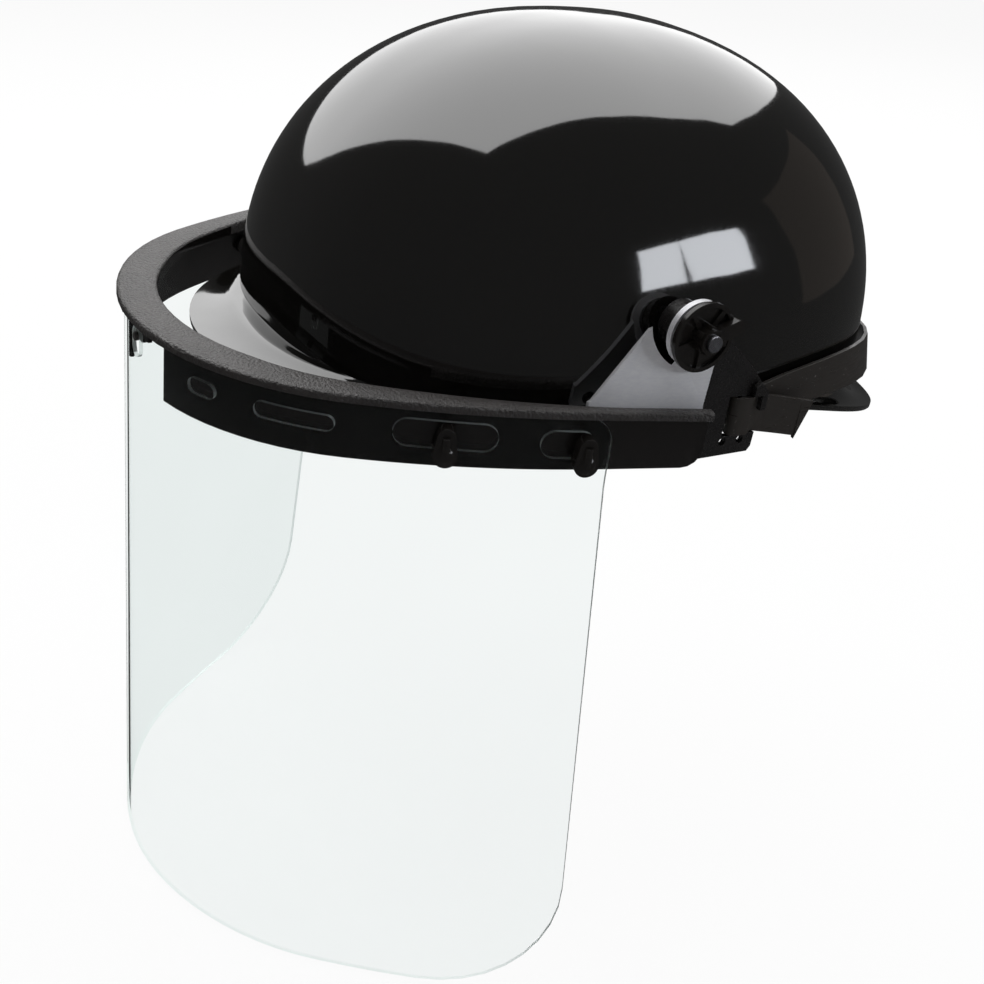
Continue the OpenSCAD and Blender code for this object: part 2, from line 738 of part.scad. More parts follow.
strap_in_x = bracket_x - seat - strap_t / 2;
strap_out_x = bracket_x + bracket_t + seat + strap_t / 2;
bend_x = (strap_in_x + strap_out_x) / 2;
bend_r = (strap_out_x - strap_in_x) / 2;
bend_y = bar_y[0] - seat - strap_t / 2;
bend_depth = 1.6;
tail_x = hook_x - 0.2 - strap_t;
tail_splay = 1.6;
tail_sag = 6;
tail_slant = 6;
tail_steps = 5;
// Where the strap runs highest, behind the middle
strap_high_y = 62;
// How far its lower edge leans out behind, and over which angles
strap_lean = 3.5;
lean_run = [105, 30];
function strap_rise_at(y) =
    strap_rise * (1 - pow((strap_high_y - y) / (strap_high_y - bend_y - 2), 2));

// Middle line of the left half, from the tail's end round to the back:
// x, y, level shift and lean of the lower edge
strap_half = concat(
    [for (i = [0 : tail_steps]) let (q = 1 - i / tail_steps)
        [tail_x + tail_splay * q * q, hook_y[0] + slack + tail_l * q, -tail_sag * q, 0]],
    [[strap_out_x, bar_y[1] + slack, 0, 0]],
    [for (a = [60 : -30 : -60])
        [bend_x + bend_r * sin(a), bend_y - bend_depth * cos(a), 0, 0]],
    [for (y = [bend_y + 2, bracket_back + 1]) [strap_in_x, y, strap_rise_at(y), 0]],
    [for (a = [106 : 6 : 178]) let (r = strap_wall(a))
        [r * sin(a), -r * cos(a), strap_rise_at(-r * cos(a)),
         strap_lean * smooth((a - lean_run[0]) / lean_run[1])]]
);
strap_path = concat(strap_half, [for (i = [len(strap_half) - 1 : -1 : 0])
    let (p = strap_half[i]) [-p[0], p[1], p[2], p[3]]]);

function strap_normal(i) =
    let (a = strap_path[max(0, i - 1)], b = strap_path[min(len(strap_path) - 1, i + 1)],
         d = [b[0] - a[0], b[1] - a[1]])
    [-d[1], d[0]] / norm(d);

// The tails' ends are cut at a slant
function strap_slant(i) = i == 0 || i == len(strap_path) - 1 ? tail_slant : 0;

function strap_ring(i) =
    let (p = strap_path[i], n = strap_normal(i) * strap_t / 2,
         z = strap_z + p[2], cutback = strap_slant(i),
         low = [p[0], p[1] - cutback] - strap_normal(i) * p[3])
    [[low[0] - n[0], low[1] - n[1], z - strap_w / 2], [low[0] + n[0], low[1] + n[1], z - strap_w / 2],
     [p[0] + n[0], p[1] + n[1], z + strap_w / 2], [p[0] - n[0], p[1] - n[1], z + strap_w / 2]];

// Headband: two round ends joined by straight sides

front_c = [0, -band_side];
rear_c = [0, band_side];
band_low = -band_h / 2;
// Angles of the keys: before the sides and behind them
key_front = 40;
key_rear = 35;
band_rear_arc = 48;
key_tab_h = 12;
key_tab_w = 18;
// Half angle of the brow pad, with a row of vents behind it: each vent's length and height
brow_arc = 60;
vent_step = 15;
vent = [14, 5];
band_top = band_h / 2 + key_tab_h;

// Band sector about a centre, angles from +X towards +Y
module band_arc(centre, r, t, z0, h, a0, a1) {
    translate([centre[0], centre[1], z0]) rotate([0, 0, a0])
        rotate_extrude(angle = a1 - a0, $fn = 96) translate([r, 0]) square([t, h]);
}

// Angles and centres of the four keys, from +X towards +Y
keys = [[front_c, key_front - 90], [front_c, -90 - key_front],
        [rear_c, key_rear], [rear_c, 180 - key_rear]];

// Outline of two round ends joined by straight sides
module oval(r) {
    polygon([for (c = [front_c, rear_c], a = [0 : 4 : 180])
             let (turn = a + (c[1] < 0 ? 180 : 0)) c + r * [cos(turn), sin(turn)]]);
}

module headband() {
    wedge = 3 * band_r;
    difference() {
        translate([0, 0, band_low]) linear_extrude(band_top - band_low) difference() {
            oval(band_r + band_t);
            oval(band_r);
            // Open at the nape
            translate(rear_c) polygon([[0, 0], wedge * [cos(band_rear_arc), sin(band_rear_arc)],
                                       wedge * [-cos(band_rear_arc), sin(band_rear_arc)]]);
        }
        // Over the band only the keys' tabs stand up
        translate([0, 0, band_h / 2]) linear_extrude(key_tab_h + cut) difference() {
            square(2 * wedge, center = true);
            for (k = keys) translate(k[0]) rotate(k[1])
                translate([band_r / 2, -key_tab_w / 2]) square([band_r, key_tab_w]);
        }
        // Peg holes
        for (k = keys)
            translate([k[0][0], k[0][1], tab_mid]) rotate([0, 0, k[1]])
                rotate([0, 90, 0]) cylinder(r = peg_r + running, h = 2 * band_r);
        // Vents round the brow
        for (a = [-brow_arc : vent_step : brow_arc])
            translate([front_c[0], front_c[1], 0]) rotate([0, 0, a - 90]) translate([band_r / 2, 0, 0])
                rotate([0, 90, 0]) linear_extrude(band_r) slot2d(vent[0], vent[1]);
    }
}
peg_r = 2.4;

// The pad is thinner towards its edges, and stands back from the band's edges
pad_edge = 3;
pad_back = 1.5;
pad_edge_share = 0.6;
module brow_pad() {
    r = band_r - seat;
    h = band_h / 2 - pad_back;
    translate([front_c[0], front_c[1], 0]) rotate([0, 0, -90 - brow_arc])
        rotate_extrude(angle = 2 * brow_arc, $fn = 72)
            polygon([[r, -h], [r, h], [r - pad_t * pad_edge_share, h], [r - pad_t, h - pad_edge],
                     [r - pad_t, pad_edge - h], [r - pad_t * pad_edge_share, -h]]);
}

// Keys: a blade in the shell's pocket, a shelf, and a peg in the headband's tab

key_w = 14;
blade_t = 2.6;
blade_w = 18;
blade_h = 13;
// How far the blade's face stands in from the shell's inner wall
blade_in = 1.6;
shelf_t = 3;
key_heel = 5;
key_chamfer = 4;
peg_head_t = 1.2;
peg_head_over = 1.4;
pocket_low = 8;
pocket_h = 18;
pocket_side = 3;
pocket_depth = 6.4;
// How far the pocket runs into the shell's wall
pocket_root = 0.3;
tab_mid = (band_h + key_tab_h) / 2;

// Distance from the key's own centre out to the shell's inner wall, found by halving
function reach(c, a, lo, hi, n) =
    let (m = (lo + hi) / 2, p = [c[0] + m * cos(a), c[1] + m * sin(a)],
         out = norm(p) > inner_r(atan2(p[0], -p[1]), pocket_low + pocket_h))
    n == 0 ? m : out ? reach(c, a, lo, m, n - 1) : reach(c, a, m, hi, n - 1);
function key_reach(k) = reach(k[0], k[1], 60, 160, 18);

module at_key(k) {
    translate([k[0][0], k[0][1], 0]) rotate([0, 0, k[1]]) children();
}

module key(k) {
    wall = key_reach(k) - blade_in;
    face = band_r + band_t + seat;
    at_key(k) {
        // Profile in the plane through the wall, extruded across
        translate([0, key_w / 2, 0]) rotate([90, 0, 0]) linear_extrude(key_w)
            polygon([[wall - blade_t, pocket_low + blade_h], [wall, pocket_low + blade_h],
                     [wall, pocket_low - shelf_t], [wall - key_chamfer, pocket_low - key_heel],
                     [face + key_chamfer, tab_mid - key_heel], [face, tab_mid - key_heel],
                     [face, tab_mid + key_heel], [face + key_heel / 2, tab_mid + key_heel],
                     [face + key_heel, tab_mid - shelf_t / 3],
                     [wall - key_heel, pocket_low - shelf_t / 2], [wall - blade_t, pocket_low]]);
        // Blade wings that fill the pocket
        translate([wall - blade_t, -blade_w / 2, pocket_low]) cube([blade_t, blade_w, blade_h]);
        // Peg with a head behind the headband
        translate([band_r - peg_head_t, 0, tab_mid]) rotate([0, 90, 0])
            cylinder(r = peg_r, h = band_t + seat + peg_head_t + cut);
        translate([band_r - seat - peg_head_t, 0, tab_mid]) rotate([0, 90, 0])
            cylinder(r = peg_r + peg_head_over, h = peg_head_t);
    }
}

module key_pocket(k) {
    wall = key_reach(k);
    at_key(k) difference() {
        translate([wall - pocket_depth, -blade_w / 2 - pocket_side, pocket_low])
            cube([pocket_depth + pocket_root, blade_w + 2 * pocket_side, pocket_h]);
        translate([wall - blade_in - blade_t - seat, -blade_w / 2 - seat, pocket_low - cut])
            cube([blade_t + 2 * seat, blade_w + 2 * seat, blade_h + 2 * cut]);
    }
}

// Crown strap between two keys, over the head
function key_top(k, inset) =
    let (d = key_reach(k) - inset) [k[0][0] + d * cos(k[1]), k[0][1] + d * sin(k[1])];
strap_inset = 12;
strap_foot_z = pocket_low + 4;
strap_pow = 2.3;
strap_steps = 20;

// Its highest, level part lies over the middle, where the two straps cross
module crown_strap(k0, k1, top) {
    a = key_top(k0, strap_inset);
    b = key_top(k1, strap_inset);
    dir = (b - a) / norm(b - a);
    side = [-dir[1], dir[0]];
    n = strap_steps;
    crossing = abs(a[0]) / (abs(a[0]) + abs(b[0]));
    path = [for (i = [0 : n])
        let (t = -cos(180 * i / n), q = t < 0 ? crossing * (1 + t) : mix(crossing, 1, t))
        [mix(a[0], b[0], q), mix(a[1], b[1], q),
         mix(strap_foot_z, top, pow(max(0, 1 - pow(abs(t), strap_pow)), 1 / strap_pow))]];
    function up(i) =
        let (p = path[max(0, i - 1)], q = path[min(n, i + 1)],
             flat = (q[0] - p[0]) * dir[0] + (q[1] - p[1]) * dir[1], rise = q[2] - p[2],
             l = norm([flat, rise]))
        [-rise / l * dir[0], -rise / l * dir[1], flat / l];
    half = crown_strap_w / 2;
    skin([for (i = [0 : n])
        let (p = path[i], u = up(i) * crown_strap_t / 2, s = [side[0], side[1], 0] * half)
        [p - s - u, p + s - u, p + s + u, p - s + u]]);
}

// Ratchet: two toothed tails, one above the other's mesh line, and a pinion between them

pinion_r = pinion_teeth * tooth_m / 2;
tail_r = [band_r + band_t + slack, band_r + band_t + 2 * slack + tail_t];
tooth_pitch = PI * tooth_m;
// Tooth proportions in modules: height above and below the pitch line, width at root and tip
addendum = 0.85;
dedendum = 1.25;
tooth_root_w = 2;
tooth_tip_w = 0.5;
core_less = 1.2;
rack_root = pinion_r + dedendum * tooth_m;
rack_tip = pinion_r - addendum * tooth_m;
tail_slot_arc = 17;
tail_end_arc = 23;
tail_start = 30;

// Trapezoid tooth standing on the line y = 0
module tooth2d(base_w, tip_w, h) {
    polygon([[-base_w / 2, -tiny], [base_w / 2, -tiny], [tip_w / 2, h], [-tip_w / 2, h]]);
}

// Tail of the left side; teeth_up is 1 for teeth on the slot's lower edge, -1 for its upper edge
module nape_tail(r, teeth_up) {
    pitch_a = tooth_pitch / (r + tail_t / 2) * 180 / PI;
    count = floor((tail_slot_arc - 1) / pitch_a);
    difference() {
        band_arc(rear_c, r, tail_t, -tail_h / 2, tail_h, tail_start, 90 + tail_end_arc);
        translate([rear_c[0], rear_c[1], 0]) rotate([0, 0, 90 - tail_slot_arc])
            rotate_extrude(angle = 2 * tail_slot_arc, $fn = 96)
                translate([r - cut, -rack_root]) square([tail_t + 2 * cut, 2 * rack_root]);
    }
    for (i = [-count : count - 1])
        translate([rear_c[0], rear_c[1], 0]) rotate([0, 0, 90 + (i + 0.5) * pitch_a])
            translate([r, 0, -teeth_up * rack_root]) rotate([90, 0, 90]) linear_extrude(tail_t)
                scale([1, teeth_up])
                    tooth2d(tooth_root_w * tooth_m, tooth_tip_w * tooth_m, rack_root - rack_tip);
}

function pinion_y() = band_side + tail_r[0] - slack / 2;
module pinion() {
    translate([0, pinion_y(), 0]) rotate([-90, 0, 0]) {
        linear_extrude(2 * tail_t + 2 * slack) {
            circle(r = pinion_r - core_less * tooth_m);
            for (i = [0 : pinion_teeth - 1]) rotate(i * 360 / pinion_teeth)
                translate([0, pinion_r - dedendum * tooth_m])
                    tooth2d(tooth_root_w * tooth_m, tooth_tip_w * tooth_m,
                            (addendum + dedendum) * tooth_m);
        }
        // Journal in the cover, and the square drive for the knob
        translate([0, 0, pivot_gap - cover_gap - cover_t])
            cylinder(r = journal_r, h = cover_gap + cover_t);
        cylinder(r = shaft_r, h = shaft_l);
    }
}
journal_r = 2;
shaft_r = 2.4;
cover_t = 1.8;
cover_gap = 0.3;
shaft_l = 11;
housing_r = tail_r[1] + tail_t + slack;
housing_t = 1.8;
housing_arc = 18;
housing_h = tail_h + 2 * slack;

// Curved housing: outer wall with lips above and below, open at its ends for the tails
module ratchet_housing() {
    inner = tail_r[0] - slack / 2;
    difference() {
        translate([rear_c[0], rear_c[1], 0]) rotate([0, 0, 90 - housing_arc])
            rotate_extrude(angle = 2 * housing_arc, $fn = 96) {
                translate([housing_r, -housing_h / 2 - housing_t])
                    square([housing_t, housing_h + 2 * housing_t]);
                for (side = [-1, 1])
                    translate([inner, side > 0 ? housing_h / 2 : -housing_h / 2 - housing_t])
                        square([housing_r - inner + tiny, housing_t]);
            }
        translate([0, rear_c[1], 0]) rotate([-90, 0, 0]) cylinder(r = shaft_r + running, h = 2 * band_r);
    }
}

module ratchet_cover() {
    r = tail_r[0] - slack / 2 - cover_t;
    difference() {
        band_arc(rear_c, r, cover_t - tiny, -housing_h / 2 - housing_t, housing_h + 2 * housing_t,
                 90 - housing_arc, 90 + housing_arc);
        translate([0, rear_c[1], 0]) rotate([-90, 0, 0])
            cylinder(r = journal_r + running, h = 2 * band_r);
    }
}

wheel_t = 9;
wheel_chamfer = 1.5;
wheel_dish = 2;
wheel_rim = 5;
grip_r = 2;
grip_in = 0.4;
module ratchet_knob() {
    wheel_y = band_side + housing_r + housing_t + slack;
    translate([0, wheel_y, 0]) rotate([-90, 0, 0]) difference() {
        union() {
            cylinder(r = wheel_r, h = wheel_t - wheel_chamfer);
            translate([0, 0, wheel_t - wheel_chamfer])
                cylinder(r1 = wheel_r, r2 = wheel_r - wheel_chamfer, h = wheel_chamfer);
        }
        // Finger grips round the edge
        for (i = [0 : wheel_grips - 1]) rotate([0, 0, i * 360 / wheel_grips])
            translate([wheel_r + grip_r * grip_in, 0, grip_r])
                cylinder(r = grip_r, h = wheel_t, $fn = 24);
        // Dished face
        translate([0, 0, wheel_t - wheel_dish]) cylinder(r = wheel_r - wheel_rim, h = wheel_dish + cut);
        // Seat of the shaft
        translate([0, 0, -cut]) cylinder(r = shaft_r, h = shaft_l - (wheel_y - pinion_y()) + cut);
    }
}

// Sub-parts

module shell() {
    color(shell_black) {
        union() {
            skin(shell_rings);
            for (k = keys) key_pocket(k);
        }
    }
}

module visor_frame() {
    color(frame_grey) difference() {
        union() {
            skin([for (s = frame_stations) rail_ring(s, lip_section(s))]);
            // The skirt leaves a notch at the front
            for (side = [-1, 1]) on_side(side)
                skin([for (s = skirt_stations) rail_ring(s, skirt_section(s))]);
            // Hooks that hold the sheet's top edge at the front, with a strip between them
            for (s = [-hook_s, hook_s]) on_skirt(s, lip_t)
                translate([hook_off, -hook_w / 2, -hook_w]) cube([hook_t, hook_w, hook_w + hook_root]);
            translate([front_centre[0], front_centre[1], lip_z - lip_t - strip_h])
                rotate([0, 0, -90 - hook_arc]) rotate_extrude(angle = 2 * hook_arc, $fn = 96)
                    translate([front_r - skirt_u(0) + hook_off + strip_inset, 0])
                        square([hook_t - 2 * strip_inset, strip_h + hook_root]);
        }
        // Blind holes of the arms' screws
        for (s = screw_s, side = [-1, 1])
            on_skirt(side * s, screw_drop) translate([-skirt_t - cut, 0, 0]) rotate([0, 90, 0])
                cylinder(r = screw_r + running, h = skirt_t + cut - screw_end + running);
        // Pin holes of the toggles
        for (i = [0, 1], side = [-1, 1])
            on_skirt(side * toggle_s[i], toggle_level(i))
                translate([-skirt_t - cut, 0, 0]) rotate([0, 90, 0])
                    cylinder(r = toggle_pin_r + running, h = skirt_t + 2 * cut);
    }
}

module window() {
    color(clear_tint) difference() {
        skin([for (d = window_drops)
            let (back = window_row(d, 0))
            concat(window_row(d, window_t), [for (i = [window_cols : -1 : 0]) back[i]])], thin = true);
        for (w = window_slots, side = [-1, 1])
            on_skirt(side * w[0], w[3]) translate([-cut, 0, 0]) rotate([0, 90, 0])
                rotate([0, 0, 90]) linear_extrude(slot_cut_l) slot2d(w[1], w[2]);
        translate([0, -frame_reach, lip_z - front_drop]) rotate([-90, 0, 0])
            linear_extrude(slot_cut_l) rotate(90) slot2d(front_hole[1], front_hole[0]);
    }
}

// Finger that hangs from the lip behind the sheet, with a small pin through the upper half of the hole
stud_w = 5;
stud_t = 2.4;
stud_r = 1.7;
stud_proud = 0.6;
module front_stud() {
    y = -frame_reach + window_u(0) + seat;
    color(frame_grey) {
        translate([-stud_w / 2, y, lip_z - front_drop]) cube([stud_w, stud_t, front_drop - lip_t]);
        translate([0, y + tiny, lip_z - front_drop + stud_r + seat]) rotate([90, 0, 0])
            cylinder(r = stud_r, h = window_t + seat + stud_proud);
    }
}

module toggle_left_front() { color(gloss_black) toggle(0); }
module toggle_left_rear() { color(gloss_black) toggle(1); }
module toggle_right_front() { color(gloss_black) on_side(-1) toggle(0); }
module toggle_right_rear() { color(gloss_black) on_side(-1) toggle(1); }
module side_arm_left() { color(gloss_black) side_arm(); }
module side_arm_right() { color(gloss_black) on_side(-1) side_arm(); }

module arm_screws() {
    color(steel) for (side = [-1, 1], s = screw_s) on_side(side)
        on_skirt(s, screw_drop) rotate([0, 90, 0]) {
            translate([0, 0, screw_head_x(s)])
                cylinder(r = screw_r, h = -screw_head_x(s) - screw_end);
            translate([0, 0, screw_head_x(s) - screw_head_t])
                cylinder(r = 2 * screw_r, h = screw_head_t);
        }
}

module pivot_washer_left() { color(steel) pivot_washer(); }
module pivot_washer_right() { color(steel) on_side(-1) pivot_washer(); }
module pivot_bolt_left() { color(steel) pivot_bolt(); }
module pivot_bolt_right() { color(steel) on_side(-1) pivot_bolt(); }
module pivot_knob_left() { color(gloss_black) knob(); }
module pivot_knob_right() { color(gloss_black) on_side(-1) knob(); }
module strap_bracket_left() { color(frame_grey) strap_bracket(); }
module strap_bracket_right() { color(frame_grey) on_side(-1) strap_bracket(); }

module rear_strap() {
    color(strap_black) skin([for (i = [0 : len(strap_path) - 1]) strap_ring(i)]);
}

module headband_part() { color(band_grey) headband(); }
module suspension_keys() { color(band_grey) for (k = keys) key(k); }
module crown_strap_a() { color(web_grey) crown_strap(keys[0], keys[3], crown_strap_z); }
module crown_strap_b() {
    color(web_grey) crown_strap(keys[1], keys[2], crown_strap_z + crown_strap_t + 3 * seat);
}
module nape_tail_left() { color(band_grey) nape_tail(tail_r[0], 1); }
module nape_tail_right() { color(band_grey) on_side(-1) nape_tail(tail_r[1], -1); }

shell();
visor_frame();
window();
front_stud();
toggle_left_front();
toggle_left_rear();
toggle_right_front();
toggle_right_rear();
side_arm_left();
side_arm_right();
arm_screws();
pivot_washer_left();
pivot_washer_right();
pivot_bolt_left();
pivot_bolt_right();
pivot_knob_left();
pivot_knob_right();
strap_bracket_left();
strap_bracket_right();
rear_strap();
headband_part();  // headband
color(band_grey) brow_pad();
crown_strap_a();
crown_strap_b();
suspension_keys();
nape_tail_left();
nape_tail_right();
color(band_grey) ratchet_housing();
color(band_grey) ratchet_cover();
color(steel) pinion();  // ratchet_pinion
color(gloss_black) ratchet_knob();
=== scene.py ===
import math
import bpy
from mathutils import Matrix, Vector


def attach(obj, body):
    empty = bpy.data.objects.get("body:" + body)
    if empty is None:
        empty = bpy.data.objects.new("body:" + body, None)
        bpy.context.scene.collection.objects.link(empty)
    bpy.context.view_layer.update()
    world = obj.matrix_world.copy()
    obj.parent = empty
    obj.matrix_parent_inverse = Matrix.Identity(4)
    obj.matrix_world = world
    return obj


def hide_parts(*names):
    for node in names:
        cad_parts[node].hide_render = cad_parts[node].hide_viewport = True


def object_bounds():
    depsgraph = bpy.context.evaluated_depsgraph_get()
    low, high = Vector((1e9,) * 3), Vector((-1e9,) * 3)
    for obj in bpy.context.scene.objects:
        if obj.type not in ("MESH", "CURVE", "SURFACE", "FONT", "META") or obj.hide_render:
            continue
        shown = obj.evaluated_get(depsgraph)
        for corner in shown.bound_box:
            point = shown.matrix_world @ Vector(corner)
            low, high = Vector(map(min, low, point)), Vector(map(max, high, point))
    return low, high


bl_info = {
    "name": "Peaked Hat with Face Shield",
    "version": (1, 0, 0),
    "blender": (4, 5, 0),
    "location": "View3D > Sidebar > Hat",
    "description": "Dresses a peaked protective hat with a lifting face shield",
    "category": "Object",
}

import bmesh
import bpy
from bpy.props import FloatProperty, FloatVectorProperty, IntProperty, PointerProperty
from mathutils import Matrix, Vector

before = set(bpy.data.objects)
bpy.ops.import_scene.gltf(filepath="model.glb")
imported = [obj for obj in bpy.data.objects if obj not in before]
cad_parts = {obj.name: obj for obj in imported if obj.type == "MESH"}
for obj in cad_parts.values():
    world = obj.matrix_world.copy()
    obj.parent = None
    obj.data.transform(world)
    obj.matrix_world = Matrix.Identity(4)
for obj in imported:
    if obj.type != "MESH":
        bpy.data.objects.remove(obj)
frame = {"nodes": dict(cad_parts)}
CAD_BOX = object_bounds()
MM = 0.001


def metres(value, **words):
    """A size property in metres."""
    return FloatProperty(default=value, subtype="DISTANCE", unit="LENGTH", precision=5, **words)


def degrees(value, **words):
    """An angle property."""
    return FloatProperty(default=math.radians(value), subtype="ANGLE", unit="ROTATION", **words)


def fraction(value, **words):
    """A property between none and all."""
    return FloatProperty(default=value, subtype="FACTOR", min=0.0, max=1.0, **words)


def colour(name, description, default):
    """A colour property."""
    return FloatVectorProperty(
        name=name, description=description, default=default, subtype="COLOR", size=3, min=0.0, max=1.0
    )


class HatShellSizes(bpy.types.PropertyGroup):
    """Sizes of the moulded shell."""

    crown_half_w: metres(0.109, name="Crown half width", description="Half width of the crown")
    crown_half_l: metres(0.132, name="Crown half length", description="Half length of the crown")
    crown_h: metres(0.116, name="Crown height", description="Height over the widest level")
    crown_z: metres(0.012, name="Widest level", description="Level of the widest part")
    wall: metres(0.0025, name="Wall", description="Wall of the shell")
    peak_w: metres(0.0255, name="Peak", description="How far the front peak stands out")
    nape_flare: metres(0.012, name="Nape flare", description="Flare of the rim at the nape")
    side_flare: metres(0.0012, name="Side flare", description="Flare of the rim at the sides")
    peak_z: metres(0.005, name="Peak level", description="Level of the peak's edge")
    side_z: metres(0.003, name="Side level", description="Level of the rim at the sides")
    nape_z: metres(-0.022, name="Nape level", description="Level of the rim at the nape")
    columns: IntProperty(name="Columns", description="Columns round the shell", default=180, min=72, max=360)
    rows: IntProperty(name="Rows", description="Rows over the crown", default=34, min=10, max=80)


class HatWindowSizes(bpy.types.PropertyGroup):
    """Sizes of the clear window and of the lip that it hangs under."""

    front_r: metres(0.100, name="Front radius", description="Radius of the lip's outer edge at the front")
    front_arc: degrees(58.5, name="Front arc", description="Angle of the front arc on each side")
    side_r: metres(0.341, name="Side radius", description="Radius of the lip's outer edge at the sides")
    side_lean: degrees(16.8, name="Side lean", description="Outward lean of each end")
    end_l: metres(0.041, name="Straight end", description="Length of the straight end of each side")
    reach: metres(0.185, name="Reach", description="Distance from the middle to the lip's front edge")
    lip_z: metres(0.020, name="Lip level", description="Level of the lip's top face")
    lip_t: metres(0.003, name="Lip thickness", description="Thickness of the lip")
    height: metres(0.254, name="Window height", description="Height of the sheet")
    half_w: metres(0.195, name="Window half width", description="Half of the sheet's width round its curve")
    sheet_t: metres(0.0015, name="Sheet thickness", description="Thickness of the sheet")
    corner_r: metres(0.053, name="Lower corners", description="Radius of the lower corners")
    top_r: metres(0.010, name="Upper corners", description="Radius of the upper corners")
    clamp: metres(0.0283, name="Clamped depth", description="How far down the sheet hangs straight")
    spread: fraction(0.23, name="Spread", description="How much wider the curve opens at the bottom")


class HatTrimSizes(bpy.types.PropertyGroup):
    """Sizes of edges and soft parts."""

    hard_edge: metres(0.0004, name="Edge round", description="Rounding of moulded edges")
    grip_edge: metres(0.0008, name="Grip edge round", description="Rounding of the knobs and the toggles")
    fine_edge: metres(0.00025, name="Fine edge round", description="Rounding of small metal edges")
    soft_edge: metres(0.001, name="Soft edge round", description="Rounding of the brow pad")
    pad_fill: fraction(0.4, name="Pad fill", description="How far the brow pad swells between its seams")


class HatFinishes(bpy.types.PropertyGroup):
    """Colours of the finishes."""

    shell: colour("Shell", "Gloss black of the shell", (0.0052, 0.0048, 0.0042))
    trim: colour("Trim", "Gloss black of knobs and toggles", (0.0115, 0.0098, 0.0088))
    arm: colour("Arms", "Satin plates of the side arms", (0.90, 0.90, 0.96))
    frame: colour("Frame", "Grained black of the visor frame's lip", (0.026, 0.022, 0.0205))
    skirt: colour("Skirt", "Gloss black of the visor frame's skirt", (0.0085, 0.0072, 0.0068))
    bracket: colour("Brackets", "Black of the strap brackets", (0.0095, 0.0085, 0.0085))
    sheet: colour("Sheet", "Clear sheet of the window", (0.885, 0.912, 0.907))
    edge: colour("Sheet edge", "Cut edges of the window", (0.80, 0.86, 0.84))
    strap: colour("Strap", "Rear strap", (0.030, 0.026, 0.023))
    steel: colour("Steel", "Plated steel", (0.46, 0.46, 0.50))
    band: colour("Band", "Headband and ratchet", (0.050, 0.051, 0.054))
    pad: colour("Pad", "Brow pad cloth", (0.075, 0.077, 0.085))
    web: colour("Webbing", "Crown straps", (0.19, 0.19, 0.185))
    floor: colour("Floor", "Floor under the hat", (0.86, 0.86, 0.86))


# Shaders

# The colour sockets of a mix node, whose number sockets go by the same names
MIX_A, MIX_B, MIX_RESULT = 6, 7, 2
# Where nearly all values of a noise lie
NOISE_SPAN = (0.25, 0.75)
# A wave texture at scale 1 repeats after this length
WAVE_UNIT = 0.314
DUST = (0.16, 0.15, 0.14)
THICK_DUST = (0.30, 0.27, 0.26)


class Finish:
    """A Principled material that is built up a few nodes at a time."""

    def __init__(self, name, colour, roughness, **plain):
        self.mat = bpy.data.materials.new(name)
        self.mat.use_nodes = True
        self.tree = self.mat.node_tree
        self.shader = self.tree.nodes["Principled BSDF"]
        self.place = self.node("ShaderNodeTexCoord").outputs["Object"]
        self.shader.inputs["Base Color"].default_value = (*colour, 1)
        self.shader.inputs["Roughness"].default_value = roughness
        for key, value in plain.items():
            self.shader.inputs[key.replace("_", " ")].default_value = value
        self.relief = None

    def node(self, kind, **values):
        """A new node, with its settings and its sockets' values by name."""
        made = self.tree.nodes.new(kind)
        for key, value in values.items():
            if hasattr(made, key):
                setattr(made, key, value)
            else:
                made.inputs[key.replace("_", " ")].default_value = value
        return made

    def link(self, a, b):
        """Joins an output to an input."""
        self.tree.links.new(a, b)

    def speckle(self, grain, detail=2.0, fine=0.5, stretch=None):
        """Noise with grains of a size in metres, and a share of finer noise in it."""
        made = self.node("ShaderNodeTexNoise", Scale=1 / grain, Detail=detail, Roughness=fine)
        place = self.place
        if stretch:
            mapping = self.node("ShaderNodeMapping", Scale=stretch)
            self.link(place, mapping.inputs["Vector"])
            place = mapping.outputs["Vector"]
        self.link(place, made.inputs["Vector"])
        return made.outputs["Fac"]

    def ranged(self, value, span, low=0.0, high=1.0):
        """The value, mapped from a span to low and high, and held there outside it."""
        made = self.node("ShaderNodeMapRange", clamp=True)
        for slot, number in zip(("From Min", "From Max", "To Min", "To Max"), (*span, low, high)):
            made.inputs[slot].default_value = number
        self.link(value, made.inputs["Value"])
        return made.outputs["Result"]

    def tint(self, fac, colour_a, colour_b):
        """Base colour mixed by fac."""
        made = self.node("ShaderNodeMix", data_type="RGBA")
        made.inputs[MIX_A].default_value = (*colour_a, 1)
        made.inputs[MIX_B].default_value = (*colour_b, 1)
        self.link(fac, made.inputs["Factor"])
        self.link(made.outputs[MIX_RESULT], self.shader.inputs["Base Color"])

    def rough(self, fac, low, high):
        """Roughness between low and high by a noise."""
        self.link(self.ranged(fac, NOISE_SPAN, low, high), self.shader.inputs["Roughness"])

    def bump(self, height, depth):
        """Adds a relief of the given depth in metres, over any before it."""
        made = self.node("ShaderNodeBump", Strength=1.0, Distance=depth)
        self.link(height, made.inputs["Height"])
        if self.relief is not None:
            self.link(self.relief, made.inputs["Normal"])
        self.relief = made.outputs["Normal"]
        self.link(self.relief, self.shader.inputs["Normal"])

    def surface(self, first, second, fac):
        """Makes the surface a mix of two shaders."""
        mixed = self.node("ShaderNodeMixShader")
        for slot, output in enumerate((fac, first, second)):
            self.link(output, mixed.inputs[slot])
        self.link(mixed.outputs[0], self.tree.nodes["Material Output"].inputs["Surface"])


def shaded(colour, factor):
    """A colour made darker or paler by a factor."""
    return tuple(min(1.0, v * factor) for v in colour)


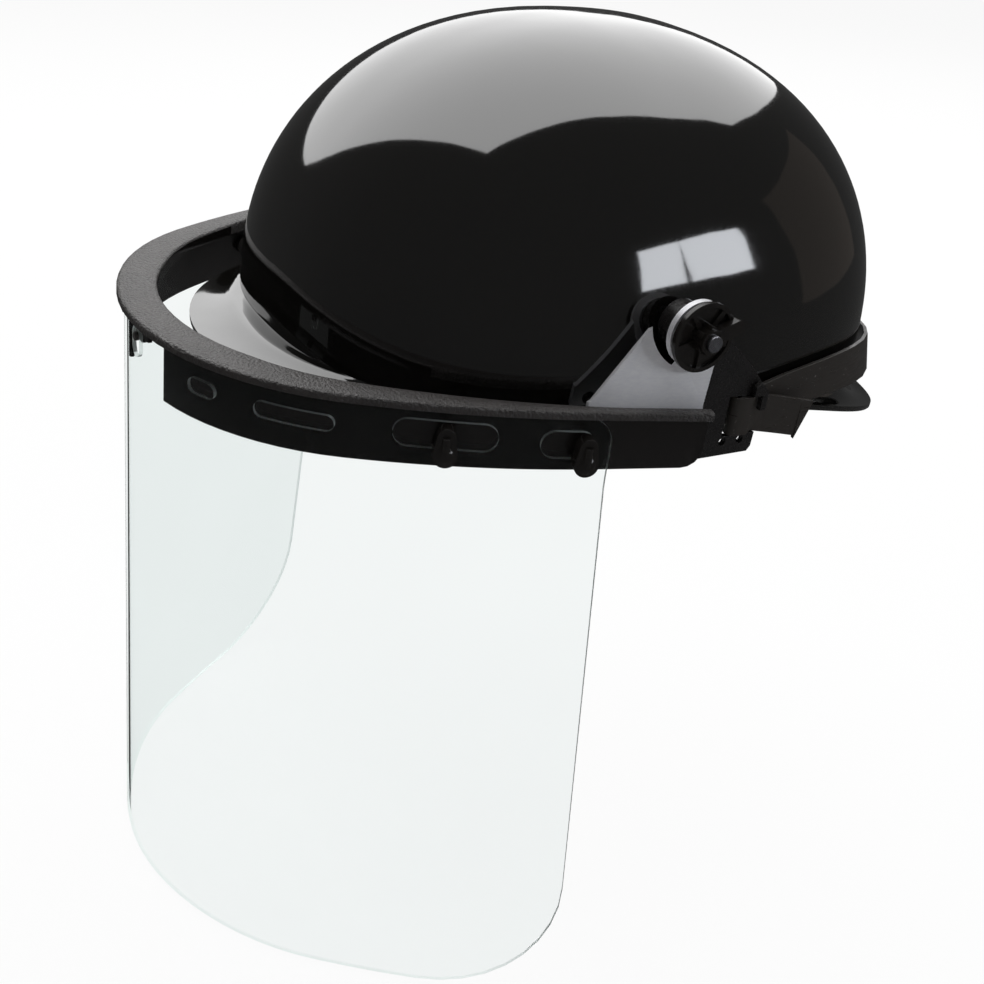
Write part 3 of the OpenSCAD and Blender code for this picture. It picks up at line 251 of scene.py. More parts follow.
def moulded_gloss(name, colour, waves, roughness=0.05, ior=1.5, specular=1.0):
    """Polished moulded plastic: slow waves in the gloss, fine scuffs and a little dust."""
    made = Finish(name, colour, roughness, IOR=ior, Specular_IOR_Level=specular)
    scuffs = made.speckle(0.0009, detail=6.0, fine=0.65, stretch=(1.0, 1.0, 0.25))
    made.rough(scuffs, roughness * 0.7, roughness * 1.7)
    dust = made.ranged(made.speckle(0.0011, detail=3.0, fine=0.7), (0.745, 0.79), high=0.5)
    made.tint(dust, colour, DUST)
    made.bump(made.speckle(0.021, detail=1.0), waves)


def brushed_arm(name, colour):
    """Painted metal plate: a soft satin shine with slow changes and fine rubbing lines."""
    made = Finish(name, colour, 0.42, Metallic=0.5, IOR=1.5)
    made.rough(made.speckle(0.012, detail=3.0, fine=0.6), 0.36, 0.5)
    lines = made.speckle(0.0008, detail=3.0, fine=0.6, stretch=(1.0, 0.2, 1.0))
    made.tint(lines, shaded(colour, 0.9), shaded(colour, 1.1))
    made.bump(lines, 0.00002)


def grained_matte(name, colour, grain, depth, roughness, specular):
    """Spark-eroded moulded plastic: fine round grains, worn a little paler here and there."""
    made = Finish(name, colour, roughness, Specular_IOR_Level=specular)
    grains = made.speckle(grain, detail=3.0, fine=0.55)
    wear = made.ranged(made.speckle(0.017, detail=4.0, fine=0.6), (0.35, 0.75))
    made.tint(wear, colour, shaded(colour, 1.6))
    made.rough(grains, roughness - 0.1, roughness + 0.1)
    made.bump(grains, depth)


def clear_sheet(name, colour):
    """Clear polycarbonate: thin tint, slight waves, and lamps shine through."""
    made = Finish(name, colour, 0.0, Transmission_Weight=1.0, IOR=1.004)
    made.bump(made.speckle(0.03, detail=1.0), 0.00002)
    made.tint(made.speckle(0.05), colour, shaded(colour, 1.02))
    shadow = made.node("ShaderNodeLightPath").outputs["Is Shadow Ray"]
    through = made.node("ShaderNodeBsdfTransparent", Color=(*colour, 1))
    made.surface(made.shader.outputs[0], through.outputs[0], shadow)


def sawn_edge(name, colour):
    """The sheet's cut edges: finely frosted, and paler than the sheet."""
    made = Finish(name, colour, 0.35, Transmission_Weight=0.75, IOR=1.15)
    marks = made.speckle(0.0005, detail=3.0, fine=0.6, stretch=(1.0, 1.0, 0.2))
    made.rough(marks, 0.25, 0.5)
    made.bump(marks, 0.00003)


def dusty_strap(name, colour):
    """Satin extruded strap: lengthwise drag lines and stuck dust."""
    made = Finish(name, colour, 0.34, Specular_IOR_Level=0.45)
    lines = made.speckle(0.0012, stretch=(0.12, 0.12, 1.6))
    made.rough(lines, 0.26, 0.42)
    dust = made.ranged(made.speckle(0.0013, fine=0.6), (0.70, 0.76))
    made.tint(dust, colour, THICK_DUST)
    made.bump(lines, 0.00006)
    made.bump(dust, 0.00008)


def plated_steel(name, colour):
    """Zinc-plated steel with turning marks and faint spots."""
    made = Finish(name, colour, 0.28, Metallic=1.0)
    marks = made.speckle(0.0006, detail=3.0, fine=0.6, stretch=(3.0, 0.4, 0.4))
    made.rough(marks, 0.2, 0.38)
    spots = made.ranged(made.speckle(0.002, detail=3.0), (0.4, 0.7))
    made.tint(spots, colour, shaded(colour, 0.72))
    made.bump(marks, 0.00002)


def woven(name, colour, thread):
    """Webbing: crossing threads from two wave patterns on the piece's own UV map."""
    made = Finish(name, colour, 0.85, Sheen_Weight=0.25, Sheen_Roughness=0.5)
    uv = made.node("ShaderNodeUVMap", uv_map="cloth").outputs["UV"]
    both = made.node("ShaderNodeMath", operation="MAXIMUM")
    for slot, direction in enumerate(("X", "Y")):
        wave = made.node("ShaderNodeTexWave", bands_direction=direction, wave_profile="SIN")
        wave.inputs["Scale"].default_value = WAVE_UNIT / thread
        wave.inputs["Distortion"].default_value = 0.6
        made.link(uv, wave.inputs["Vector"])
        made.link(wave.outputs["Fac"], both.inputs[slot])
    made.tint(both.outputs[0], shaded(colour, 0.55), shaded(colour, 1.25))
    made.bump(both.outputs[0], thread * 0.25)


def terry(name, colour, loop):
    """Terry cloth: soft loops, with painted shade in the hollows between them and paler painted tops."""
    made = Finish(name, colour, 0.95, Sheen_Weight=0.4, Sheen_Roughness=0.6)
    loops = made.node("ShaderNodeTexVoronoi", Scale=1 / loop)
    made.link(made.place, loops.inputs["Vector"])
    # Painted shade and light: the colour darkens from each loop's middle out to the hollows round it, and
    # loop tops are painted paler
    made.tint(loops.outputs["Distance"], shaded(colour, 1.3), shaded(colour, 0.5))
    made.bump(loops.outputs["Distance"], -0.0004)


def finishes():
    """Every finish, made once and kept by name."""
    c = bpy.context.scene.hat_finishes
    if "hat gloss shell" not in bpy.data.materials:
        moulded_gloss("hat gloss shell", c.shell, waves=0.00012, ior=1.6)
        moulded_gloss("hat gloss trim", c.trim, waves=0.00006, roughness=0.16, specular=0.6)
        moulded_gloss("hat gloss skirt", c.skirt, waves=0.00008, roughness=0.14, specular=0.7)
        brushed_arm("hat satin arm", c.arm)
        grained_matte("hat grained frame", c.frame, grain=0.0011, depth=0.0011, roughness=0.44, specular=0.9)
        grained_matte("hat bracket", c.bracket, grain=0.0014, depth=0.00008, roughness=0.3, specular=0.6)
        grained_matte("hat satin band", c.band, grain=0.0008, depth=0.00004, roughness=0.38, specular=0.5)
        clear_sheet("hat clear sheet", c.sheet)
        sawn_edge("hat sawn edge", c.edge)
        dusty_strap("hat strap", c.strap)
        plated_steel("hat plated steel", c.steel)
        terry("hat terry pad", c.pad, loop=0.0011)
        woven("hat webbing", c.web, thread=0.0009)
    return {mat.name.removeprefix("hat "): mat for mat in bpy.data.materials if mat.name.startswith("hat ")}


# Meshes

# Angles in degrees up to which faces meet smoothly: on most pieces, and on those that have their own
SMOOTH_ANGLE = 35.0
SHELL_ANGLE, RAIL_ANGLE, RIBBON_ANGLE, SHEET_ANGLE = 50.0, 50.0, 48.0, 30.0
# Edges are rounded past this angle, and past the smooth one by a margin
ROUND_ANGLE, ROUND_MARGIN = 40.0, 2.0


def smoothed(bm, limit):
    """Makes faces smooth, with sharp edges between them past a limit in degrees."""
    for edge in bm.edges:
        edge.smooth = len(edge.link_faces) == 2 and edge.calc_face_angle(math.pi) < math.radians(limit)
    for face in bm.faces:
        face.smooth = True


def finish_piece(bm, name, body, slot, finish, *replaced, smooth_angle=SMOOTH_ANGLE):
    """Turns a bmesh into an object that rides on its body and stands for CAD nodes."""
    smoothed(bm, smooth_angle)
    mesh = bpy.data.meshes.new(name)
    bm.to_mesh(mesh)
    bm.free()
    mesh.materials.append(finishes()[finish])
    piece = bpy.data.objects.new(name, mesh)
    bpy.context.scene.collection.objects.link(piece)
    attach(piece, body)
    if replaced:
        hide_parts(*replaced)
    return piece


# Vertices nearer than this are one, and a face no wider than the second is none
SAME_POINT = 2e-6
NO_WIDTH = 1e-6
# Angles in degrees: between the triangles of one face, by plane and by shape, and between flat faces
PAIR_PLANE, PAIR_SHAPE = 12, 50
FLAT_ANGLE = 0.2
# The share of its volume that a form may lose when its flat faces are made one
FLAT_CHANGE = 1e-4


def merged(node, joined):
    """A copy of a CAD node's mesh with its loose triangles joined.

    A faceted node keeps its small faces, in pairs. On others the flat faces are made one,
    unless that would change the volume.
    """
    for flat in (True, False):
        bm = bmesh.new()
        bm.from_mesh(frame["nodes"][node].data)
        bmesh.ops.remove_doubles(bm, verts=bm.verts, dist=SAME_POINT)
        bmesh.ops.dissolve_degenerate(bm, edges=bm.edges, dist=NO_WIDTH)
        if joined:
            bmesh.ops.join_triangles(
                bm,
                faces=bm.faces,
                angle_face_threshold=math.radians(PAIR_PLANE),
                angle_shape_threshold=math.radians(PAIR_SHAPE),
            )
            return bm
        if flat:
            whole = bm.calc_volume()
            limit = math.radians(FLAT_ANGLE)
            bmesh.ops.dissolve_limit(bm, angle_limit=limit, verts=bm.verts, edges=bm.edges)
            if abs(bm.calc_volume() / whole - 1) < FLAT_CHANGE:
                return bm
            bm.free()
    return bm


def rounded(piece, width, segments=2, angle=ROUND_ANGLE):
    """Gives a piece small rounded edges where its faces meet past an angle in degrees."""
    made = piece.modifiers.new("edges", "BEVEL")
    made.width = width
    made.segments = segments
    made.limit_method = "ANGLE"
    made.angle_limit = math.radians(angle)
    made.harden_normals = True
    made.use_clamp_overlap = True


def dressed(node, name, body, slot, finish, edge, angle=SMOOTH_ANGLE, joined=False, segments=2):
    """A CAD form with joined faces, rounded edges and its finish."""
    piece = finish_piece(merged(node, joined), name, body, slot, finish, node, smooth_angle=angle)
    rounded(piece, edge, segments, max(ROUND_ANGLE, angle + ROUND_MARGIN))
    return piece


def loft(rings):
    """A closed skin through rings of points, bridged from each to the next."""
    bm = bmesh.new()
    loops = []
    for ring in rings:
        verts = [bm.verts.new(p) for p in ring]
        loops.append([bm.edges.new(pair) for pair in zip(verts, verts[1:] + verts[:1])])
    for a, b in zip(loops, loops[1:]):
        bmesh.ops.bridge_loops(bm, edges=a + b)
    for loop in (loops[0], loops[-1]):
        bmesh.ops.contextual_create(bm, geom=loop)
    bmesh.ops.recalc_face_normals(bm, faces=bm.faces)
    return bm


def smooth_step(v):
    """0 up to v = 0, 1 from v = 1 on, and a soft S between them."""
    q = min(1.0, max(0.0, v))
    return q * q * (3 - 2 * q)


def mix(a, b, q):
    """From a at q = 0 to b at q = 1."""
    return a + (b - a) * q


# The shell's form

# How square the crown is in plan and from the side, where 2 is an ellipse
PLAN_POWER = 2.42
RISE_POWER = 2.2
# Radius of the peak's outline, and the room over which it runs out into the rim
PEAK_R = 0.078
PEAK_BLEND = 0.0025
WALL_DRAFT = math.tan(math.radians(3))
# Angles in degrees over which the rim changes: where each change starts and how far it runs
PEAK_ARC = 60
PEAK_FALL = (30, 50)
NAPE_FALL = (105, 58)
FLARE_RUN = (105, 35)
# The rim's fall for its width, and how its rows crowd towards the wall
RIM_SLOPE = 0.36
RIM_POWER = 1.5
# Rows of the crown: the first one's angle from the top in degrees, and how they crowd
TOP_TURN = 3.0
TURN_POWER = 0.85
ROOT_ROWS = (0.35, 0.7, 1.0)
RIM_ROWS = 12
# The rim's edge is rolled under: each row's step outward, and its step down in walls
ROLLED_ROWS = ((0.0, 0.3), (-0.0001, 0.8), (-0.0006, 1.0))


class ShellForm:
    """The moulded shell's surface, by angle from the front and level."""

    def __init__(self, sizes):
        self.s = sizes

    def crown_r(self, a):
        """Radius of the crown's widest outline."""
        wide = abs(math.sin(a)) / self.s.crown_half_w
        long = abs(math.cos(a)) / self.s.crown_half_l
        return (wide**PLAN_POWER + long**PLAN_POWER) ** (-1 / PLAN_POWER)

    def share(self, z, height):
        """What is left of the widest outline at a level."""
        if z <= self.s.crown_z:
            return 1.0
        return max(0.0, 1 - ((z - self.s.crown_z) / height) ** RISE_POWER) ** (1 / RISE_POWER)

    def outer(self, a, z):
        """Radius and level of the wall's outer face."""
        draft = max(0.0, self.s.crown_z - z) * WALL_DRAFT
        return self.crown_r(a) * self.share(z, self.s.crown_h) + draft, z

    def inner(self, a, z):
        """Radius and level of the wall's inner face."""
        draft = max(0.0, self.s.crown_z - z) * WALL_DRAFT
        return (self.crown_r(a) - self.s.wall) * self.share(z, self.s.crown_h - self.s.wall) + draft, z

    def off_front(self, a):
        """Angle from the front in degrees, to either side."""
        return abs(math.degrees(a) - 360 if a > math.pi else math.degrees(a))

    def rim_z(self, a):
        """Level of the rim's underside."""
        s, b = self.s, self.off_front(a)
        front = mix(s.peak_z, s.side_z, smooth_step((b - PEAK_FALL[0]) / PEAK_FALL[1]))
        return mix(front, s.nape_z, smooth_step((b - NAPE_FALL[0]) / NAPE_FALL[1]))

    def rim_w(self, a):
        """How far the rim stands out: a narrow flare, or the peak where that reaches further."""
        s, b = self.s, self.off_front(a)
        centre = s.crown_half_l + s.peak_w - PEAK_R
        reach = 0
        if b <= PEAK_ARC:
            t = math.radians(b)
            reach = centre * math.cos(t) + math.sqrt(max(0, PEAK_R**2 - (centre * math.sin(t)) ** 2))
        flare = mix(s.side_flare, s.nape_flare, smooth_step((b - FLARE_RUN[0]) / FLARE_RUN[1]))
        return flare + PEAK_BLEND * math.log(1 + math.exp((reach - self.crown_r(a) - flare) / PEAK_BLEND))

    def root_z(self, a):
        """Level at which the rim leaves the wall."""
        return self.rim_z(a) + self.s.wall + RIM_SLOPE * self.rim_w(a) + MM

    def down_wall(self, a, q):
        """The wall at share q of the way from its widest level to the rim's root."""
        return self.outer(a, mix(self.s.crown_z, min(self.root_z(a), self.s.crown_z - MM), q))

    def rim_over(self, a, q):
        """Upper face of the rim at share q of its width."""
        root = self.root_z(a)
        z = mix(root, self.rim_z(a) + self.s.wall, 1 - (1 - q) ** 2)
        r = self.outer(a, root)[0] + self.rim_w(a) * q**RIM_POWER
        return r, min(z, self.s.crown_z - MM * (1 + q))

    def rim_edge(self, a, out, down):
        """The rim's edge, moved outward, and down by a share of the wall."""
        r, z = self.rim_over(a, 1.0)
        return r + out, z - self.s.wall * down

    def rim_under(self, a, q):
        """Lower face of the rim at share q of its width."""
        r, z = self.rim_over(a, q)
        return r - self.s.wall * (1 - q), z - self.s.wall * q

    def ring(self, at, *place):
        """A closed ring of points, where at gives radius and level for an angle and a place."""
        made = []
        for j in range(self.s.columns):
            a = j * 2 * math.pi / self.s.columns
            r, z = at(a, *place)
            made.append(Vector((r * math.sin(a), -r * math.cos(a), z)))
        return made

    def levels(self, height):
        """Levels of the crown's rows from the top down, for a height over the widest level."""
        turns = (mix(TOP_TURN, 90, (i / self.s.rows) ** TURN_POWER) for i in range(self.s.rows + 1))
        return [self.s.crown_z + height * math.cos(math.radians(turn)) for turn in turns]

    def rings(self):
        """The shell's rows: down the outside, round the rim's edge and up the inside."""
        rim = [(i + 1) / RIM_ROWS for i in range(RIM_ROWS)]
        made = [self.ring(self.outer, z) for z in self.levels(self.s.crown_h)]
        made += [self.ring(self.down_wall, q) for q in ROOT_ROWS]
        made += [self.ring(self.rim_over, q) for q in rim]
        made += [self.ring(self.rim_edge, *row) for row in ROLLED_ROWS]
        made += [self.ring(self.rim_under, q) for q in reversed(rim[:-1])]
        made += [self.ring(self.inner, z) for z in reversed(self.levels(self.s.crown_h - self.s.wall))]
        return made


# Pockets for the four keys of the suspension: centre, and angle from +X towards +Y
KEYS = tuple(
    (Vector((0, centre, 0)), math.radians(turn))
    for centre, turn in ((-0.020, -50), (-0.020, -130), (0.020, 35), (0.020, 145))
)
# Lower and upper level of a pocket, and the upper level of its slot
POCKET_LOW, POCKET_TOP, SLOT_TOP = 0.008, 0.026, 0.022
POCKET_HALF_W, SLOT_HALF_W = 0.012, 0.0093
# How far a pocket's inner face, and the inner and outer face of its slot, stand in from the wall
POCKET_IN, SLOT_IN, SLOT_OUT = 0.0064, 0.0045, 0.0013
# How deep a pocket sinks into the wall
POCKET_SINK = 0.0003
# The wall is looked for between these distances, halved this often
WALL_NEAR, WALL_FAR, HALVINGS = 0.06, 0.16, 20


def pocket_rings(form, centre, turn):
    """Rings round a pocket: down its outside, which follows the wall, and up inside its slot."""
    along = Vector((math.cos(turn), math.sin(turn), 0))
    across = Vector((-along.y, along.x, 0))

    def wall_at(v, level):
        low, high = WALL_NEAR, WALL_FAR
        for _ in range(HALVINGS):
            middle = (low + high) / 2
            p = centre + along * middle + across * v
            if p.length > form.inner(math.atan2(p.x, -p.y), level)[0]:
                high = middle
            else:
                low = middle
        return low

    flat = wall_at(0, POCKET_TOP)

    def ring(level, w, inner, outer):
        """A ring with a flat inner side, and an outer side whose distance comes from a function."""
        places = [(flat - inner, -w), *((outer(v), v) for v in (-w, -w / 2, 0, w / 2, w)), (flat - inner, w)]
        return [centre + along * u + across * v + Vector((0, 0, level)) for u, v in places]

    def outside(level):
        return ring(level, POCKET_HALF_W, POCKET_IN, lambda v: wall_at(v, level) + POCKET_SINK)

    def slot(level):
        return ring(level, SLOT_HALF_W, SLOT_IN, lambda v: flat - SLOT_OUT)

    return [outside(POCKET_TOP), outside(POCKET_LOW), slot(POCKET_LOW), slot(SLOT_TOP)]


class HAT_OT_shell(bpy.types.Operator):
    """Moulded gloss shell with its front peak, small rim and key pockets"""

    bl_idname = "hat.shell"
    bl_label = "Shell"

    def execute(self, context):
        form = ShellForm(context.scene.hat_shell)
        skin = loft(form.rings())
        finish_piece(skin, "hat_shell", "hat", "shell", "gloss shell", "shell", smooth_angle=SHELL_ANGLE)
        for number, (centre, turn) in enumerate(KEYS):
            box = loft(pocket_rings(form, centre, turn))
            pocket = finish_piece(box, f"key_pocket_{number}", "hat", "shell", "gloss shell")
            rounded(pocket, context.scene.hat_trim.hard_edge)
        return {"FINISHED"}


class HAT_OT_visor_frame(bpy.types.Operator):
    """Grained visor frame with its lip, skirt and hooks, and the stud at its front"""

    bl_idname = "hat.visor_frame"
    bl_label = "Visor frame"

    def execute(self, context):
        edge = context.scene.hat_trim.hard_edge
        sizes = context.scene.hat_window
        wear = ("visor", "frame", "grained frame", edge)
        rail = dressed("visor_frame", "visor_rail", *wear, angle=RAIL_ANGLE, joined=True)
        rail.data.materials.append(finishes()["gloss skirt"])
        lip_low = sizes.lip_z - sizes.lip_t
        for polygon in rail.data.polygons:
            polygon.material_index = int(polygon.center.z < lip_low)
        dressed("front_stud", "window_stud", *wear)
        return {"FINISHED"}


# How far in the sheet's outer face hangs, in front and at the ends
SHEET_IN = (0.0030, 0.0015)
# Where that starts to change and over how much, by share of the rail
SHEET_NARROWS, SHEET_NARROWING = 0.25, 0.6
# The whole sheet hangs this much further out
SHEET_EASE = 0.00015


class SheetForm:
    """The window's surface: by length s round the lip's outer edge and by drop below its top."""

    def __init__(self, sizes):
        self.s = s = sizes
        self.arc = s.front_r * s.front_arc
        self.end_heading = math.pi / 2 - s.side_lean
        self.side = s.side_r * (self.end_heading - s.front_arc)
        self.length = self.arc + self.side + s.end_l
        self.front_centre = Vector((0, s.front_r - s.reach))
        lean = Vector((math.sin(s.front_arc), -math.cos(s.front_arc)))
        self.side_centre = self.front_centre + (s.front_r - s.side_r) * lean

    def heading(self, s):
        """How far the rail has turned from the front at length s."""
        d = abs(s)
        if d <= self.arc:
            return d / self.s.front_r
        return min(self.end_heading, self.s.front_arc + (d - self.arc) / self.s.side_r)

    def rail(self, s, u):
        """Point of the lip's outer edge at length s, moved inward by u."""
        d, h = abs(s), self.heading(s)
        out = Vector((math.sin(h), -math.cos(h)))
        if d <= self.arc:
            p = self.front_centre + (self.s.front_r - u) * out
        else:
            straight = max(0.0, d - self.arc - self.side)
            p = self.side_centre + (self.s.side_r - u) * out + straight * Vector((math.cos(h), math.sin(h)))
        return Vector((-p.x if s < 0 else p.x, p.y))

    def inset(self, s):
        """How far in the sheet's inner face is."""
        q = min(1.0, max(0.0, (abs(s) / self.length - SHEET_NARROWS) / SHEET_NARROWING))
        return self.s.sheet_t + mix(*SHEET_IN, q) - SHEET_EASE

    def point(self, s, drop):
        """Point of the sheet's inner face, which opens sideways below the clamped part."""
        z = self.s
        p = self.rail(s, self.inset(s))
        opened = max(0.0, drop - z.clamp) / (z.height - z.clamp)
        return Vector((p.x * (1 + z.spread * opened * abs(s) / z.half_w), p.y, z.lip_z - drop))

    def half_w(self, drop):
        """Half width of the sheet at a drop, with its rounded corners."""
        z = self.s
        left = z.half_w
        for room, r in ((z.height + z.lip_t - drop, z.corner_r), (drop - z.lip_t, z.top_r)):
            if room < r:
                left -= r - math.sqrt(max(0.0, r * r - (r - room) ** 2))
        return left


# Slots of the sheet on each side: middle, length, height and level below the lip's top
SLOTS = (
    (0.0450, 0.0126, 0.0058, 0.0131),
    (0.0832, 0.0290, 0.0060, 0.0129),
    (0.1364, 0.0364, 0.0104, 0.0125),
    (0.1794, 0.0196, 0.0104, 0.0136),
)
# The upright hole for the finger at the front, by the same four values
FRONT_HOLE = (0.0, 0.008, 0.012, 0.012)
# A cutter starts this far behind the sheet's inner face, and is this deep
CUTTER_BEHIND, CUTTER_DEPTH = 0.004, 0.009
CUTTER_STEPS = 12
SHEET_COLUMNS = 168
# Rows between the corners, how they crowd towards the top, and rows of each corner
SHEET_ROWS, ROW_POWER = 30, 1.5
CORNER_ROWS = 9
# How far the first row keeps off the lip
LIP_GAP = 0.0003
UP = Vector((0, 0, 1))


def slot_cutter(bm, form, s, length, height, drop):
    """A prism with round ends that stands across the sheet at s."""
    middle = form.point(s, drop)
    heading = form.heading(s)
    side = -1 if s < 0 else 1
    out = Vector((side * math.sin(heading), -math.cos(heading), 0))
    along = UP.cross(out)
    long_way, short_way = (along, UP) if length > height else (UP, along)
    r = min(length, height) / 2
    run = max(length, height) / 2 - r
    verts = []
    for end in (1, -1):
        for i in range(CUTTER_STEPS + 1):
            turn = math.radians(180 * i / CUTTER_STEPS - 90)
            p = end * (long_way * (run + r * math.cos(turn)) + short_way * r * math.sin(turn))
            verts.append(bm.verts.new(middle - out * CUTTER_BEHIND + p))
    face = bm.faces.new(verts)
    grown = bmesh.ops.extrude_face_region(bm, geom=[face])["geom"]
    moved = [v for v in grown if isinstance(v, bmesh.types.BMVert)]
    bmesh.ops.translate(bm, verts=moved, vec=out * CUTTER_DEPTH)
    for side_face in bm.faces:
        side_face.material_index = 1


def cut_by(piece, bm, smooth_angle):
    """Cuts a closed bmesh out of a piece for good, and smooths the piece again."""
    bmesh.ops.recalc_face_normals(bm, faces=bm.faces)
    mesh = bpy.data.meshes.new("cutter")
    bm.to_mesh(mesh)
    bm.free()
    cutter = bpy.data.objects.new("cutter", mesh)
    for mat in piece.data.materials:
        mesh.materials.append(mat)
    bpy.context.scene.collection.objects.link(cutter)
    made = piece.modifiers.new("cut", "BOOLEAN")
    made.operation = "DIFFERENCE"
    made.solver = "EXACT"
    made.object = cutter
    graph = bpy.context.evaluated_depsgraph_get()
    done = bpy.data.meshes.new_from_object(piece.evaluated_get(graph))
    piece.modifiers.remove(made)
    old, piece.data = piece.data, done
    bpy.data.meshes.remove(old)
    bpy.data.objects.remove(cutter)
    bpy.data.meshes.remove(mesh)
    left = bmesh.new()
    left.from_mesh(done)
    smoothed(left, smooth_angle)
    left.to_mesh(done)
    left.free()


def sheet_drops(sizes):
    """Levels of the sheet's rows below the lip's top."""
    top, low = sizes.lip_t, sizes.lip_t + sizes.height
    turns = [math.radians(90 * i / CORNER_ROWS) for i in range(CORNER_ROWS + 1)]
    drops = [top + sizes.top_r * (1 - math.cos(t)) + LIP_GAP * math.cos(t) for t in turns[:-1]]
    rows = [(i / SHEET_ROWS) ** ROW_POWER for i in range(SHEET_ROWS)]
    drops += [mix(top + sizes.top_r, low - sizes.corner_r, q) for q in rows]
    drops += [low - sizes.corner_r * (1 - math.sin(t)) for t in turns]
    return drops


def sheet_skin(form, drops):
    """The sheet's inner face, in columns of equal width along each row."""
    bm = bmesh.new()
    strips = []
    for drop in drops:
        half = form.half_w(drop)
        places = [mix(-half, half, j / SHEET_COLUMNS) for j in range(SHEET_COLUMNS + 1)]
        verts = [bm.verts.new(form.point(s, drop)) for s in places]
        strips.append([bm.edges.new(pair) for pair in zip(verts, verts[1:])])
    for a, b in zip(strips, strips[1:]):
        bmesh.ops.bridge_loops(bm, edges=a + b)
    bmesh.ops.recalc_face_normals(bm, faces=bm.faces)
    front = min(bm.faces, key=lambda face: face.calc_center_median().y)
    if front.normal.y > 0:
        bmesh.ops.reverse_faces(bm, faces=bm.faces)
    return bm


class HAT_OT_window(bpy.types.Operator):
    """Clear window sheet with the slots along its top edge"""

    bl_idname = "hat.window"
    bl_label = "Window"

    def execute(self, context):
        sizes = context.scene.hat_window
        form = SheetForm(sizes)
        skin = sheet_skin(form, sheet_drops(sizes))
        first = set(skin.verts)
        bmesh.ops.solidify(skin, geom=skin.faces[:], thickness=-sizes.sheet_t)
        bmesh.ops.recalc_face_normals(skin, faces=skin.faces)
        for face in skin.faces:
            kept = sum(v in first for v in face.verts)
            face.material_index = int(0 < kept < len(face.verts))
        name = "clear_window"
        piece = finish_piece(skin, name, "visor", "window", "clear sheet", "window", smooth_angle=SHEET_ANGLE)
        piece.data.materials.append(finishes()["sawn edge"])
        slots = bmesh.new()
        for middle, length, height, drop in SLOTS:
            for side in (1, -1):
                slot_cutter(slots, form, side * middle, length, height, drop)
        slot_cutter(slots, form, *FRONT_HOLE)
        cut_by(piece, slots, SHEET_ANGLE)
        return {"FINISHED"}


SIDES = ("left", "right")
GRIP_SEGMENTS = 4


class HAT_OT_toggles(bpy.types.Operator):
    """Turn toggles that hold the window on the frame"""

    bl_idname = "hat.toggles"
    bl_label = "Toggles"

    def execute(self, context):
        edge = context.scene.hat_trim.grip_edge
        for side in SIDES:
            for place in ("front", "rear"):
                node, body = f"toggle_{side}_{place}", f"toggle_{side[0]}{place[0]}"
                dressed(node, f"turn_{node}", body, "gloss_trim", "gloss trim", edge, segments=GRIP_SEGMENTS)
        return {"FINISHED"}


class HAT_OT_arms(bpy.types.Operator):
    """Side arms with the screws that hold them to the frame"""

    bl_idname = "hat.arms"
    bl_label = "Side arms"

    def execute(self, context):
        trim = context.scene.hat_trim
        for side in SIDES:
            node, name = f"side_arm_{side}", f"lift_arm_{side}"
            dressed(node, name, "visor", "gloss_trim", "satin arm", trim.hard_edge)
        dressed("arm_screws", "lift_arm_screws", "visor", "steel", "plated steel", trim.fine_edge)
        return {"FINISHED"}


class HAT_OT_pivots(bpy.types.Operator):
    """Pivot bolts, washers and ribbed knobs"""

    bl_idname = "hat.pivots"
    bl_label = "Pivots"

    def execute(self, context):
        trim = context.scene.hat_trim
        for side in SIDES:
            for part in (f"bolt_{side}", f"washer_{side}"):
                dressed(f"pivot_{part}", f"hinge_{part}", "hat", "steel", "plated steel", trim.fine_edge)
            node, name, body = f"pivot_knob_{side}", f"hinge_knob_{side}", f"knob_{side[0]}"
            dressed(node, name, body, "gloss_trim", "gloss trim", trim.grip_edge, segments=GRIP_SEGMENTS)
        return {"FINISHED"}


class HAT_OT_brackets(bpy.types.Operator):
    """Strap brackets on the sides of the shell"""

    bl_idname = "hat.brackets"
    bl_label = "Strap brackets"

    def execute(self, context):
        edge = context.scene.hat_trim.hard_edge
        for side in SIDES:
            dressed(f"strap_bracket_{side}", f"strap_holder_{side}", "hat", "frame", "bracket", edge)
        return {"FINISHED"}


class HAT_OT_strap(bpy.types.Operator):
    """Rear strap that runs from bracket to bracket"""

    bl_idname = "hat.strap"
    bl_label = "Rear strap"

    def execute(self, context):
        edge = context.scene.hat_trim.fine_edge
        dressed("rear_strap", "nape_strap", "hat", "strap", "strap", edge, angle=RIBBON_ANGLE, joined=True)
        return {"FINISHED"}


# The gear has this share of the CAD one's width, so that its teeth turn clear of the case's facets
GEAR_EASE = 0.965


class HAT_OT_band(bpy.types.Operator):
    """Headband with its keys, and the ratchet behind it"""

    bl_idname = "hat.band"
    bl_label = "Headband and ratchet"

    def execute(self, context):
        trim = context.scene.hat_trim
        dressed("headband", "head_hoop", "hat", "band", "satin band", trim.hard_edge)
        dressed("suspension_keys", "hang_keys", "hat", "band", "satin band", trim.hard_edge)
        for side in SIDES:
            node, name, body = f"nape_tail_{side}", f"nape_rack_{side}", f"tail_{side[0]}"
            dressed(node, name, body, "band", "satin band", trim.fine_edge)
        dressed("ratchet_housing", "ratchet_case", "hat", "band", "satin band", trim.hard_edge)
        dressed("ratchet_cover", "ratchet_lid", "hat", "band", "satin band", trim.hard_edge)
        gear = dressed("ratchet_pinion", "ratchet_gear", "ratchet", "steel", "plated steel", trim.fine_edge)
        gear.data.transform(Matrix.Diagonal((GEAR_EASE, 1, GEAR_EASE, 1)))
        dressed("ratchet_knob", "ratchet_wheel", "ratchet", "gloss_trim", "gloss trim", trim.hard_edge)
        return {"FINISHED"}


